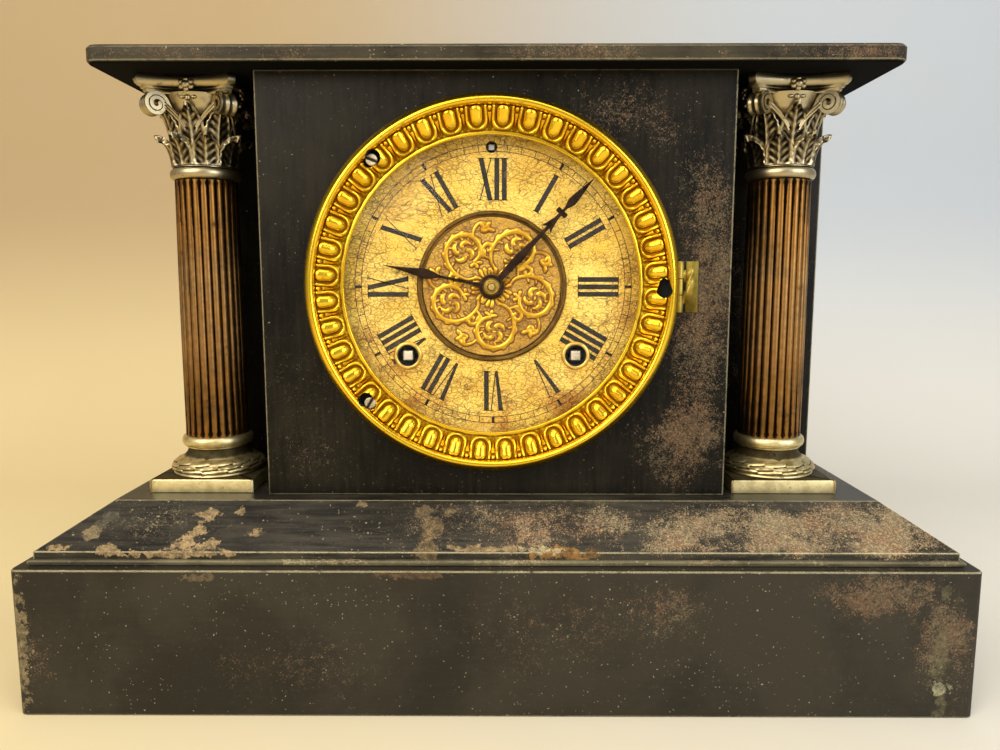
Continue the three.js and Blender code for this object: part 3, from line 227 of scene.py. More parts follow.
def fuse(name, pieces, angle=softAngle):  # several pieces become one mesh
    work = bmesh.new()
    finishes = []
    for piece in pieces:
        shift = len(work.faces)
        work.from_mesh(piece.data)
        work.faces.ensure_lookup_table()
        own = [slot.material for slot in piece.material_slots]
        for face in work.faces[shift:]:
            finish = own[face.material_index] if own else None
            if finish not in finishes:
                finishes.append(finish)
            face.material_index = finishes.index(finish)
    mesh = bpy.data.meshes.new(name)
    work.to_mesh(mesh)
    work.free()
    for finish in finishes:
        mesh.materials.append(finish)
    for piece in pieces:
        spare = piece.data
        bpy.data.objects.remove(piece)
        bpy.data.meshes.remove(spare)
    shade(mesh, angle)
    return linked(name, mesh)


def cutAway(piece, parts, finish):  # sinks holes with their own wall finish into a piece
    cutter = newPiece("cutter", parts)
    cutter.data.materials.append(finish)
    cut = piece.modifiers.new("cut", "BOOLEAN")
    cut.operation, cut.object = "DIFFERENCE", cutter
    cut.solver, cut.material_mode = "EXACT", "TRANSFER"
    made = baked(piece)
    piece.modifiers.remove(cut)
    piece.data = made
    bpy.data.objects.remove(cutter)


def storeCavity(piece, rounds=14, depth=0.25):  # how deep each point lies in its own relief
    mesh = piece.data
    count = len(mesh.vertices)
    co = np.empty(count * 3)
    mesh.vertices.foreach_get("co", co)
    co = co.reshape(-1, 3)
    normal = np.empty(count * 3, np.float32)
    mesh.vertices.foreach_get("normal", normal)
    pair = np.empty(len(mesh.edges) * 2, np.int32)
    mesh.edges.foreach_get("vertices", pair)
    a, b = pair[::2], pair[1::2]
    near = np.maximum(np.bincount(a, minlength=count) + np.bincount(b, minlength=count), 1)
    soft = co.copy()
    for _ in range(rounds):
        mean = np.stack([np.bincount(a, soft[b, k], count) + np.bincount(b, soft[a, k], count)
                         for k in range(3)], 1) / near[:, None]
        soft = 0.5 * soft + 0.5 * mean
    value = ((soft - co) * normal.reshape(-1, 3)).sum(1) / (depth * mm)
    mesh.attributes.new("cavity", "FLOAT", "POINT").data.foreach_set(
        "value", np.clip(value, -1, 1).astype(np.float32))
    return piece


def dress(piece, body, slot, *replaced, finish=None):
    if finish:
        piece.data.materials.clear()
        piece.data.materials.append(finish)
    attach(piece, body)
    if replaced:
        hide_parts(*replaced)
    return piece


# shader helpers

def tint(r, g, b):  # a screen colour, 0 to 255, as the shader's linear one
    linear = [c / 255 / 12.92 if c <= 10 else ((c / 255 + 0.055) / 1.055) ** 2.4 for c in (r, g, b)]
    return (*linear, 1.0)


def calc(tree, operation, a, b=0.0, c=0.0, clamp=False):
    return put(tree, "ShaderNodeMath", {0: a, 1: b, 2: c}, operation=operation, use_clamp=clamp).outputs[0]


def blend(tree, share, a, b):
    return put(tree, "ShaderNodeMix", {0: share, 6: a, 7: b}, data_type="RGBA").outputs[2]


def spread(tree, value, low, high, toLow=0.0, toHigh=1.0):  # a soft step between two values
    return put(tree, "ShaderNodeMapRange", {0: value, 1: low, 2: high, 3: toLow, 4: toHigh},
               interpolation_type="SMOOTHSTEP").outputs[0]


def grain(tree, where, scale, detail=4.0, rough=0.55, twist=0.0):
    return put(tree, "ShaderNodeTexNoise", {"Vector": where, "Scale": scale, "Detail": detail,
                                            "Roughness": rough, "Distortion": twist}).outputs[0]


def newGroup(name, given, made):
    tree = bpy.data.node_groups.new(name, "ShaderNodeTree")
    for label, kind, value in given:
        socket = tree.interface.new_socket(label, in_out="INPUT", socket_type="NodeSocket" + kind)
        if value is not None:
            socket.default_value = value
    for label, kind in made:
        tree.interface.new_socket(label, in_out="OUTPUT", socket_type="NodeSocket" + kind)
    return tree, tree.nodes.new("NodeGroupInput").outputs, tree.nodes.new("NodeGroupOutput").inputs


def fill(tree, group, feeds):
    return put(tree, "ShaderNodeGroup", feeds, node_tree=group).outputs


# shared effects

def edgeWearGroup():  # paint rubbed off along edges, broken up by noise; on the iron castings it is also a painted highlight along the edges
    tree, given, out = newGroup("edgeWear", (("Where", "Vector", None), ("Width", "Float", 0.0006),
                                             ("Break", "Float", 140.0), ("Amount", "Float", 0.6)),
                                (("Mask", "Float"), ("Normal", "Vector")))
    soft = put(tree, "ShaderNodeBevel", {"Radius": given["Width"]}, samples=4).outputs[0]
    flat = put(tree, "ShaderNodeNewGeometry").outputs["Normal"]
    turn = put(tree, "ShaderNodeVectorMath", {0: soft, 1: flat}, operation="DOT_PRODUCT").outputs["Value"]
    edge = spread(tree, calc(tree, "SUBTRACT", 1.0, turn), 0.004, 0.05)
    ragged = spread(tree, grain(tree, given["Where"], given["Break"], 6.0, 0.7), 0.26, 0.5)
    tree.links.new(calc(tree, "MULTIPLY", calc(tree, "MULTIPLY", edge, ragged), given["Amount"]), out["Mask"])
    tree.links.new(soft, out["Normal"])
    return tree


def speckleGroup():  # sparse round flecks, more of them where the cloud is thick
    tree, given, out = newGroup("speckle", (("Where", "Vector", None), ("Cells", "Float", 700.0),
                                            ("Cover", "Float", 0.2), ("Clump", "Float", 30.0)),
                                (("Mask", "Float"),))
    stir = put(tree, "ShaderNodeTexNoise", {"Vector": given["Where"], "Scale": 900.0, "Detail": 2.0})
    stirred = put(tree, "ShaderNodeVectorMath",
                  {0: stir.outputs["Color"], 1: (0.0016,) * 3, 2: given["Where"]},
                  operation="MULTIPLY_ADD").outputs[0]
    cells = put(tree, "ShaderNodeTexVoronoi", {"Vector": stirred, "Scale": given["Cells"]}).outputs
    pick = put(tree, "ShaderNodeSeparateColor", {0: cells["Color"]}).outputs
    cloud = spread(tree, grain(tree, given["Where"], given["Clump"], 5.0, 0.65), 0.38, 0.72)
    most = calc(tree, "MULTIPLY", given["Cover"], calc(tree, "MULTIPLY_ADD", cloud, 0.9, 0.1))
    chosen = calc(tree, "LESS_THAN", pick[0], most)
    size = calc(tree, "MULTIPLY_ADD", pick[1], 0.26, 0.08)
    dot = spread(tree, calc(tree, "SUBTRACT", size, cells["Distance"]), 0.0, 0.08)
    tree.links.new(calc(tree, "MULTIPLY", dot, chosen), out["Mask"])
    return tree


def patchGroup():  # one flaked or stained patch, an ellipsoid with a torn edge
    tree, given, out = newGroup("patch", (("Where", "Vector", None), ("Middle", "Vector", None),
                                          ("Size", "Vector", (0.01, 0.01, 0.01)), ("Torn", "Float", 120.0),
                                          ("Ragged", "Float", 2.2), ("Edge", "Float", 0.06)),
                                (("Mask", "Float"),))
    local = put(tree, "ShaderNodeVectorMath", {0: given["Where"], 1: given["Middle"]},
                operation="SUBTRACT").outputs[0]
    local = put(tree, "ShaderNodeVectorMath", {0: local, 1: given["Size"]}, operation="DIVIDE").outputs[0]
    far = put(tree, "ShaderNodeVectorMath", {0: local}, operation="LENGTH").outputs["Value"]
    torn = calc(tree, "SUBTRACT", grain(tree, given["Where"], given["Torn"], 8.0, 0.68), 0.5)
    edge = calc(tree, "MULTIPLY_ADD", torn, given["Ragged"], calc(tree, "SUBTRACT", 1.0, far))
    tree.links.new(spread(tree, edge, 0.0, given["Edge"]), out["Mask"])
    return tree


def crackleGroup():  # fine drying cracks, wider where the noise says so
    tree, given, out = newGroup("crackle", (("Where", "Vector", None), ("Cells", "Float", 300.0),
                                            ("Width", "Float", 0.05)), (("Mask", "Float"), ("Cell", "Float")))
    bent = put(tree, "ShaderNodeTexNoise", {"Vector": given["Where"], "Scale": 160.0, "Detail": 3.0})
    bent = put(tree, "ShaderNodeVectorMath", {0: bent.outputs[1], 1: (0.5, 0.5, 0.5)},
               operation="SUBTRACT").outputs[0]
    bent = put(tree, "ShaderNodeVectorMath", {0: bent, "Scale": 0.004}, operation="SCALE").outputs[0]
    where = put(tree, "ShaderNodeVectorMath", {0: given["Where"], 1: bent}, operation="ADD").outputs[0]
    lines = put(tree, "ShaderNodeTexVoronoi", {"Vector": where, "Scale": given["Cells"]},
                feature="DISTANCE_TO_EDGE").outputs["Distance"]
    cells = put(tree, "ShaderNodeTexVoronoi", {"Vector": where, "Scale": given["Cells"]}).outputs["Color"]
    cell = put(tree, "ShaderNodeSeparateColor", {0: cells}).outputs[0]
    vary = spread(tree, grain(tree, given["Where"], 60.0), 0.3, 0.75, 0.25, 1.6)
    away = calc(tree, "DIVIDE", lines, calc(tree, "MULTIPLY", given["Width"], vary), clamp=True)
    tree.links.new(calc(tree, "SUBTRACT", 1.0, away, clamp=True), out["Mask"])
    tree.links.new(cell, out["Cell"])
    return tree


def cavityGroup():  # splits the stored relief into recesses and rubbed ridges; the ridge colour is also a painted highlight
    tree, given, out = newGroup("recess", (("Where", "Vector", None), ("Deep", "Float", 0.5),
                                           ("Break", "Float", 400.0)),
                                (("Deep", "Float"), ("Ridge", "Float")))
    value = put(tree, "ShaderNodeAttribute", None, attribute_name="cavity").outputs["Fac"]
    rough = calc(tree, "SUBTRACT", grain(tree, given["Where"], given["Break"], 4.0), 0.5)
    value = calc(tree, "ADD", value, calc(tree, "MULTIPLY", rough, 0.5))
    tree.links.new(spread(tree, value, 0.0, given["Deep"]), out["Deep"])
    tree.links.new(spread(tree, value, -0.12, -0.75), out["Ridge"])
    return tree


edgeWear, speckle, patch = edgeWearGroup(), speckleGroup(), patchGroup()
crackle, recess = crackleGroup(), cavityGroup()


def newFinish(name, metallic=0.0, **constants):  # a material with its shader, and the object coordinates
    finish = bpy.data.materials.new(name)
    finish.use_nodes = True
    tree = finish.node_tree
    tree.nodes.clear()
    shader = put(tree, "ShaderNodeBsdfPrincipled", {"Metallic": metallic})
    for key, value in constants.items():
        shader.inputs[key.replace("_", " ")].default_value = value
    end = put(tree, "ShaderNodeOutputMaterial")
    tree.links.new(shader.outputs[0], end.inputs[0])
    where = put(tree, "ShaderNodeTexCoord").outputs["Object"]
    return finish, tree, shader, where


def feed(tree, shader, **sockets):
    for key, value in sockets.items():
        tree.links.new(value, shader.inputs[key.replace("_", " ")])


def bump(tree, height, strength, distance, normal=None):
    feeds = {"Height": height, "Strength": strength, "Distance": distance}
    if normal is not None:
        feeds["Normal"] = normal
    return put(tree, "ShaderNodeBump", feeds).outputs[0]


# the case's black japanned iron

blackPaint = {"black": (8, 7, 4), "bloom": (32, 28, 19), "fleck": (176, 164, 128), "bare": (206, 192, 150),
              "rust": (112, 76, 56), "olive": (82, 75, 56), "tan": (132, 104, 76)}
greyPaint = {**blackPaint, "black": (35, 31, 23), "bloom": (50, 45, 34), "rust": (96, 70, 52),
             "olive": (84, 74, 56), "tan": (122, 102, 76)}
dustPaint = {**blackPaint, "black": (22, 21, 17), "bloom": (62, 57, 46), "rust": (122, 90, 66),
             "olive": (120, 107, 82), "tan": (182, 156, 114)}
panelPaint = {**blackPaint, "rust": (84, 63, 44), "olive": (76, 67, 50), "tan": (122, 100, 73)}
# under: the height below which the slab's underside is painted near black, as shade
slabPaint = {**greyPaint, "black": (30, 27, 20), "bloom": (62, 56, 42), "under": 0.2752}
beadPaint = {**greyPaint, "black": (44, 40, 29), "bloom": (96, 88, 64), "olive": (134, 124, 92),
             "tan": (176, 158, 116)}
# lighter paint for the rounded edges: rubbed paint and a painted highlight
wornAndHighlitPaint = {**greyPaint, "black": (40, 36, 27), "bloom": (112, 102, 76), "rust": (132, 108, 78),
             "olive": (186, 174, 136), "tan": (224, 212, 172)}
dustPatch = {"Torn": 45.0, "Ragged": 1.8, "Edge": 0.9}
flakePatch = {"Ragged": 5.0, "Edge": 0.5}
# near black, the painted shade on the slab's underside
underShade = (6, 5, 4)


def ironFinish(name, paint, grit, flecks, edgeWearAndShine, regions=(), flakes=(), gloss=0.36, brush=(0.08, 1.0, 1.0),
               brushed=0.45, shine=0.2):
    finish, tree, shader, where = newFinish(name, Specular_IOR_Level=shine)
    cloud = grain(tree, where, 12.0, 6.0, 0.64, 0.3)
    fine = grain(tree, where, 1450.0, 4.0, 0.75)
    along = put(tree, "ShaderNodeMapping", {"Vector": where, "Scale": brush}).outputs[0]
    streak = grain(tree, along, 520.0, 4.0, 0.65)
    tone = calc(tree, "MULTIPLY_ADD", streak, brushed, calc(tree, "MULTIPLY", cloud, 1.0 - brushed))
    colour = blend(tree, spread(tree, tone, 0.38, 0.62), tint(*paint["black"]), tint(*paint["bloom"]))
    density = calc(tree, "MULTIPLY", spread(tree, grain(tree, where, 20.0, 6.0, 0.66), 0.4, 0.7), grit)
    for middle, size, amount in regions:  # where the paint has gone dusty and brown
        soft = fill(tree, patch, {"Where": where, "Middle": middle, "Size": size, **dustPatch})[0]
        density = calc(tree, "MULTIPLY_ADD", soft, amount, density)
    coarse = grain(tree, where, 300.0, 6.0, 0.75)
    gritty = calc(tree, "MULTIPLY_ADD", coarse, 0.35, calc(tree, "MULTIPLY", fine, 0.65))
    gritty = spread(tree, calc(tree, "MULTIPLY_ADD", density, 0.2, gritty), 0.6, 0.68)
    hue = grain(tree, where, 55.0, 6.0, 0.7)
    dusty = blend(tree, spread(tree, hue, 0.34, 0.62), tint(*paint["rust"]), tint(*paint["olive"]))
    pale = spread(tree, grain(tree, where, 1050.0, 4.0, 0.75), 0.48, 0.6, 0.0, 0.9)
    dusty = blend(tree, pale, dusty, tint(*paint["tan"]))
    colour = blend(tree, calc(tree, "MULTIPLY", gritty, 0.85), colour, dusty)
    dots = fill(tree, speckle, {"Where": where, "Cells": 680.0, "Cover": flecks, "Clump": 26.0})[0]
    colour = blend(tree, calc(tree, "MULTIPLY", dots, 0.55), colour, tint(*paint["fleck"]))
    # paint rubbed off along edges, also a painted highlight line along them
    edge = fill(tree, edgeWear, {"Where": where, "Width": 0.0009, "Break": 150.0, "Amount": edgeWearAndShine})
    colour = blend(tree, edge[0], colour, tint(*paint["bare"]))
    bare = calc(tree, "MAXIMUM", edge[0], dots)
    for middle, size, share, fineness, shadeOf in flakes:  # paint flaked to the ground below
        torn = fill(tree, patch, {"Where": where, "Middle": middle, "Size": size, "Torn": fineness * 0.8,
                                  **flakePatch})[0]
        mask = calc(tree, "MULTIPLY", spread(tree, torn, 0.0, 0.12), share)
        inner = calc(tree, "MULTIPLY_ADD", coarse, 1.6, calc(tree, "MULTIPLY_ADD", fine, 1.0, -1.0))
        dark = tint(*[c * 0.5 for c in shadeOf])
        ground = blend(tree, spread(tree, inner, 0.0, 0.6), dark, tint(*shadeOf))
        colour = blend(tree, mask, colour, ground)
        bare = calc(tree, "MAXIMUM", bare, mask)
    rough = calc(tree, "MULTIPLY_ADD", tone, 0.3, gloss - 0.1)
    rough = calc(tree, "MULTIPLY_ADD", calc(tree, "MAXIMUM", gritty, bare), 0.3, rough, clamp=True)
    height = calc(tree, "MULTIPLY_ADD", gritty, 0.5, calc(tree, "MULTIPLY", fine, 0.3))
    height = calc(tree, "SUBTRACT", height, calc(tree, "MULTIPLY", bare, 0.8))
    if "under" in paint:  # painted shade: the underside below this height is painted near black
        up = put(tree, "ShaderNodeSeparateXYZ", {0: where}).outputs[2]
        under = spread(tree, up, paint["under"], paint["under"] + 0.0008)
        colour = blend(tree, under, tint(*underShade), colour)
        rough = calc(tree, "MAXIMUM", rough, calc(tree, "SUBTRACT", 1.0, under))
    feed(tree, shader, Base_Color=colour, Roughness=rough, Normal=bump(tree, height, 0.3, 0.00022, edge[1]))
    return finish


# metals, paper and glass

def metalFinish(name, bright, mid, deep, rough, mottle, deepAt=0.5, relief=True, dull=0.3, metallic=1.0,
                edges=0.0, ridge=None):
    finish, tree, shader, where = newFinish(name, metallic)
    cloud = grain(tree, where, mottle, 5.0, 0.6)
    fine = grain(tree, where, 700.0, 4.0, 0.6)
    colour = blend(tree, spread(tree, cloud, 0.35, 0.7), tint(*bright), tint(*mid))
    normal = None
    roughness = calc(tree, "MULTIPLY_ADD", cloud, dull * 0.5, rough)
    if relief:
        cut = fill(tree, recess, {"Where": where, "Deep": deepAt, "Break": 420.0})
        colour = blend(tree, calc(tree, "MULTIPLY", cut["Deep"], 0.92), colour, tint(*deep))
        # ridges rubbed bright, which is also a painted highlight on the relief
        rubbedAndHighlit = calc(tree, "MULTIPLY", cut["Ridge"], 0.8 if ridge else 0.45)
        colour = blend(tree, rubbedAndHighlit, colour, tint(*(ridge or bright)))
        roughness = calc(tree, "MULTIPLY_ADD", cut["Deep"], dull, roughness, clamp=True)
    elif edges:
        edge = fill(tree, edgeWear, {"Where": where, "Width": 0.0006, "Break": 300.0, "Amount": edges})
        colour = blend(tree, edge[0], colour, tint(*bright))
        normal = edge[1]
    stain = spread(tree, grain(tree, where, mottle * 2.6, 6.0, 0.7), 0.56, 0.74)
    colour = blend(tree, calc(tree, "MULTIPLY", stain, 0.55), colour, tint(*deep))
    roughness = calc(tree, "MULTIPLY_ADD", stain, dull, roughness, clamp=True)
    feed(tree, shader, Base_Color=colour, Roughness=roughness, Normal=bump(tree, fine, 0.18, 0.00012, normal))
    return finish


def paperFinish(name, light, mid, stained, cells, crack):
    finish, tree, shader, where = newFinish(name, Specular_IOR_Level=0.3)
    middle = (-dialSpot.x * mm, 0, -dialSpot.z * mm)
    flat = put(tree, "ShaderNodeMapping", {"Vector": where, "Location": middle}).outputs[0]
    side = put(tree, "ShaderNodeSeparateXYZ", {0: flat}).outputs
    wavy = put(tree, "ShaderNodeMapping", {"Vector": where, "Scale": (0.8, 1.0, 1.45)}).outputs[0]
    cloud = grain(tree, where, 42.0, 6.0, 0.62)
    colour = blend(tree, spread(tree, cloud, 0.32, 0.7), tint(*light), tint(*mid))
    square = calc(tree, "MULTIPLY_ADD", side[0], side[0], calc(tree, "MULTIPLY", side[2], side[2]))
    far = calc(tree, "SQRT", square)
    low = spread(tree, side[2], 0.02, -0.05)
    rim = calc(tree, "MULTIPLY", spread(tree, far, 0.034, 0.066), calc(tree, "MULTIPLY_ADD", low, 0.75, 0.25))
    foxed = spread(tree, grain(tree, where, 64.0, 7.0, 0.68), 0.4, 0.64)
    foxed = calc(tree, "MULTIPLY", calc(tree, "MULTIPLY", foxed, rim), 0.9)
    colour = blend(tree, foxed, colour, tint(*stained))
    small = fill(tree, crackle, {"Where": wavy, "Cells": cells, "Width": 0.15})
    large = fill(tree, crackle, {"Where": wavy, "Cells": cells * 0.4, "Width": 0.07})
    lines = calc(tree, "MULTIPLY", small[0], 0.68)
    lines = calc(tree, "MAXIMUM", lines, calc(tree, "MULTIPLY", large[0], 0.92))
    mottled = calc(tree, "MULTIPLY", calc(tree, "SUBTRACT", small[1], 0.45), 0.3, clamp=True)
    colour = blend(tree, mottled, colour, tint(*stained))
    colour = blend(tree, lines, colour, tint(*crack))
    height = calc(tree, "MULTIPLY_ADD", small[1], 0.35, calc(tree, "MULTIPLY", cloud, 0.3))
    height = calc(tree, "SUBTRACT", height, lines)
    rough = calc(tree, "MULTIPLY_ADD", cloud, 0.2, 0.36)
    feed(tree, shader, Base_Color=colour, Roughness=rough, Normal=bump(tree, height, 0.5, 0.00014))
    return finish


def inkFinish():
    finish, tree, shader, where = newFinish("dialInk", Specular_IOR_Level=0.35)
    worn = fill(tree, crackle, {"Where": where, "Cells": 620.0, "Width": 0.05})[0]
    thin = spread(tree, grain(tree, where, 320.0, 5.0, 0.65), 0.6, 0.72)
    faded = calc(tree, "MAXIMUM", calc(tree, "MULTIPLY", worn, 0.5), calc(tree, "MULTIPLY", thin, 0.6))
    colour = blend(tree, faded, tint(26, 22, 18), tint(120, 96, 58))
    feed(tree, shader, Base_Color=colour, Roughness=spread(tree, thin, 0.0, 1.0, 0.4, 0.7))
    return finish


def glassFinish():
    finish, tree, shader, where = newFinish("clearGlass", Transmission_Weight=1.0, IOR=1.12)
    haze = spread(tree, grain(tree, where, 40.0, 5.0), 0.55, 0.8, 0.0, 0.03)
    feed(tree, shader, Roughness=haze, Base_Color=blend(tree, haze, (1, 1, 1, 1), (0.96, 0.98, 0.96, 1)))
    end = tree.nodes["Material Output"]
    through = put(tree, "ShaderNodeBsdfTransparent")
    path = put(tree, "ShaderNodeLightPath").outputs
    share = calc(tree, "MAXIMUM", path["Is Shadow Ray"], path["Is Diffuse Ray"])
    mixed = put(tree, "ShaderNodeMixShader", {0: share, 1: shader.outputs[0], 2: through.outputs[0]})
    tree.links.new(mixed.outputs[0], end.inputs[0])
    return finish


def tinFinish(name, base, worn):  # japanned sheet
    finish, tree, shader, where = newFinish(name, 0.35, Specular_IOR_Level=0.4)
    cloud = grain(tree, where, 24.0, 6.0, 0.62)
    drawn = put(tree, "ShaderNodeMapping", {"Vector": where, "Scale": (1.0, 1.0, 9.0)}).outputs[0]
    scratch = grain(tree, drawn, 180.0, 3.0)
    edge = fill(tree, edgeWear, {"Where": where, "Width": 0.0008, "Break": 220.0, "Amount": 0.6})
    colour = blend(tree, spread(tree, cloud, 0.4, 0.75), tint(*base), tint(*worn))
    colour = blend(tree, calc(tree, "MULTIPLY", spread(tree, scratch, 0.62, 0.72), 0.35), colour, tint(*worn))
    colour = blend(tree, edge[0], colour, tint(120, 112, 98))
    height = calc(tree, "ADD", cloud, calc(tree, "MULTIPLY", scratch, 0.2))
    feed(tree, shader, Base_Color=colour, Roughness=calc(tree, "MULTIPLY_ADD", cloud, 0.2, 0.4),
         Normal=bump(tree, height, 0.3, 0.0004, edge[1]))
    return finish


# bright, middle and deep colours, roughness, scale of the mottling, and how deep a recess turns dark
giltFinish = metalFinish("bezelGilt", (246, 204, 54), (220, 166, 28), (96, 54, 4),
                         0.2, 55.0, 0.62, dull=0.2)
ringFinish = metalFinish("ringBronze", (120, 92, 44), (84, 62, 28), (30, 22, 12), 0.36, 120.0)
capitalFinish = metalFinish("capitalBronze", (120, 104, 74), (60, 54, 42), (13, 11, 8),
                            0.28, 90.0, 0.6, ridge=(192, 176, 138))
baseFinish = metalFinish("baseBrass", (228, 210, 156), (150, 132, 86), (48, 39, 22), 0.34, 170.0, 0.7)
copperFinish = metalFinish("shaftCopper", (142, 99, 47), (68, 52, 32), (9, 6, 4),
                           0.31, 46.0, 0.36, ridge=(182, 145, 97))
brassFinish = metalFinish("plateBrass", (198, 166, 96), (162, 128, 64), (92, 68, 34),
                          0.32, 50.0, relief=False, edges=0.5)
hingeFinish = metalFinish("hingeBrass", (190, 166, 78), (142, 120, 52), (60, 48, 22),
                          0.4, 180.0, relief=False, edges=0.6)
nutFinish = metalFinish("nutBrass", (158, 132, 62), (112, 90, 40), (46, 34, 16),
                        0.36, 160.0, relief=False, edges=0.7)
steelFinish = metalFinish("turnedSteel", (186, 182, 174), (138, 134, 128), (72, 62, 52),
                          0.32, 90.0, relief=False, edges=0.4)
handFinish = metalFinish("blackenedHands", (58, 42, 32), (28, 20, 15), (14, 9, 7),
                         0.34, 140.0, relief=False, edges=0.5)
brightFinish = metalFinish("eyeletBrass", (226, 192, 104), (184, 142, 58), (96, 64, 20),
                           0.26, 160.0, relief=False, edges=0.4)
screwFinish = metalFinish("screwSteel", (206, 192, 164), (150, 134, 108), (46, 36, 26),
                          0.4, 300.0, relief=False, edges=0.6)
medalFinish = metalFinish("medallionGilt", (222, 175, 54), (166, 114, 24), (60, 30, 4),
                          0.27, 120.0, 0.42, dull=0.22, metallic=0.9)
dialFinish = paperFinish("dialPaper", (250, 214, 108), (236, 190, 72), (172, 104, 22), 700.0, (74, 44, 8))
groundFinish = paperFinish("medallionGround", (208, 164, 66), (174, 128, 42), (112, 66, 10), 640.0,
                           (64, 38, 8))
# dark brown for the painted shadow round the medallion's scrolls
scrollShadowFinish = metalFinish("medallionPaintedShadow", (128, 80, 20), (96, 56, 12), (56, 30, 4),
                            0.5, 240.0, relief=False, metallic=0.35)
# pale, half-metallic steel for the squared arbor ends: the bright colour is a painted reflection
arborShineFinish = metalFinish("arborPaintedShine", (206, 194, 170), (164, 150, 128), (86, 74, 58),
                          0.4, 160.0, relief=False, metallic=0.45, edges=0.4)
# near black for keyhole walls, screw slot floors, hinge slots and the sleeves behind the winding holes:
# painted shade
holeShadeFinish = metalFinish("paintedHoleShade", (14, 12, 10), (9, 8, 7), (5, 4, 4),
                         0.7, 200.0, relief=False, metallic=0.0, dull=0.1)
inkLook, glassLook = inkFinish(), glassFinish()
tinLook = tinFinish("japannedTin", (26, 24, 23), (58, 52, 46))
roughIron = ironFinish("roughIron", greyPaint, 0.9, 0.2, 0.3)
print("finishes made")


# iron castings, softened copies of the solids

edgeRound = {"flat": 1.5, "sharp": 32, "smooth": 60, "steps": 2}  # angles in degrees


def softened(name, width, finish):  # a welded copy of a node, its sharp edges rounded and given a lighter paint, rubbed bare and also a painted highlight
    mesh = nodes[name].data.copy()
    work = bmesh.new()
    work.from_mesh(mesh)
    bmesh.ops.remove_doubles(work, verts=work.verts, dist=5 * weldGap * mm)
    flat, sharp = math.radians(edgeRound["flat"]), math.radians(edgeRound["sharp"])
    bmesh.ops.dissolve_limit(work, angle_limit=flat, verts=work.verts, edges=work.edges)
    edges = [e for e in work.edges if e.is_manifold and e.calc_face_angle(0) > sharp]
    bmesh.ops.bevel(work, geom=edges, offset=width * mm, segments=edgeRound["steps"], affect="EDGES",
                    clamp_overlap=True, material=1)
    work.to_mesh(mesh)
    work.free()
    mesh.name = name + "_softened"
    mesh.materials.clear()
    mesh.materials.append(finish)
    mesh.materials.append(wornAndHighlitIron)
    piece = linked(name + "_soft", mesh)
    shade(mesh, edgeRound["smooth"])
    level = piece.modifiers.new("level", "WEIGHTED_NORMAL")  # flat faces stay flat up to their rounded edges
    level.keep_sharp = True
    made = baked(piece)
    piece.modifiers.remove(level)
    piece.data = made
    return piece


tan, ochre, grey = (178, 150, 105), (152, 112, 60), (118, 112, 88)
slopeFlakes = (  # middle, half sizes, strength, fineness and colour of each flaked patch, in metres
    ((-0.1275, -0.0590, 0.0810), (0.0050, 0.0030, 0.0028), 0.9, 210.0, tan),
    ((-0.1290, -0.0660, 0.0765), (0.0036, 0.0044, 0.0036), 0.9, 190.0, tan),
    ((-0.1335, -0.0715, 0.0728), (0.0056, 0.0038, 0.0034), 0.95, 190.0, tan),
    ((-0.1210, -0.0730, 0.0718), (0.0052, 0.0034, 0.0032), 0.95, 200.0, tan),
    ((-0.1320, -0.0757, 0.0690), (0.0220, 0.0016, 0.0016), 0.85, 260.0, tan),
    ((-0.1650, -0.0750, 0.0705), (0.0044, 0.0026, 0.0030), 0.8, 260.0, tan),
    ((-0.1749, -0.0669, 0.0758), (0.0040, 0.0032, 0.0030), 0.75, 150.0, (150, 130, 94)),
    ((-0.1676, -0.0609, 0.0798), (0.0080, 0.0050, 0.0040), 0.4, 110.0, grey),
    ((-0.1868, -0.0742, 0.0712), (0.0044, 0.0020, 0.0022), 0.85, 300.0, tan),
    ((-0.1144, -0.0575, 0.0820), (0.0026, 0.0020, 0.0020), 0.8, 240.0, tan),
    ((-0.1040, -0.0667, 0.0759), (0.0030, 0.0022, 0.0020), 0.7, 260.0, tan),
    ((-0.0598, -0.0542, 0.0842), (0.0034, 0.0020, 0.0020), 0.55, 240.0, tan),
    ((-0.0316, -0.0585, 0.0815), (0.0046, 0.0050, 0.0050), 0.36, 90.0, (158, 134, 92)),
    ((-0.0212, -0.0582, 0.0815), (0.0042, 0.0050, 0.0050), 0.34, 90.0, (150, 128, 90)),
    ((-0.0278, -0.0665, 0.0762), (0.0064, 0.0060, 0.0060), 0.38, 80.0, (158, 132, 88)),
    ((-0.0280, -0.0740, 0.0700), (0.0044, 0.0060, 0.0080), 0.4, 80.0, (158, 132, 88)),
    ((-0.0060, -0.0742, 0.0712), (0.0170, 0.0016, 0.0018), 0.8, 240.0, tan),
    ((0.0300, -0.0750, 0.0702), (0.0140, 0.0026, 0.0030), 0.9, 200.0, ochre),
    ((0.0200, -0.0745, 0.0706), (0.0090, 0.0016, 0.0020), 0.8, 300.0, (196, 178, 132)))
slopeRegions = (  # middle, half sizes and strength of each dusty patch
    ((0.0450, -0.0640, 0.0780), (0.0620, 0.0240, 0.0180), 0.6),
    ((0.0900, -0.0640, 0.0780), (0.0620, 0.0240, 0.0180), 0.5),
    ((0.1450, -0.0640, 0.0780), (0.0700, 0.0240, 0.0180), 0.8),
    ((0.1750, -0.0660, 0.0770), (0.0360, 0.0240, 0.0160), 0.5),
    ((0.1200, -0.0730, 0.0715), (0.0900, 0.0060, 0.0050), 0.5),
    ((-0.0150, -0.0640, 0.0780), (0.0600, 0.0200, 0.0160), 0.34),
    ((-0.1500, -0.0620, 0.0790), (0.0500, 0.0220, 0.0160), 0.34),
    ((0.1650, 0.0200, 0.0857), (0.0400, 0.0700, 0.0100), 0.5))
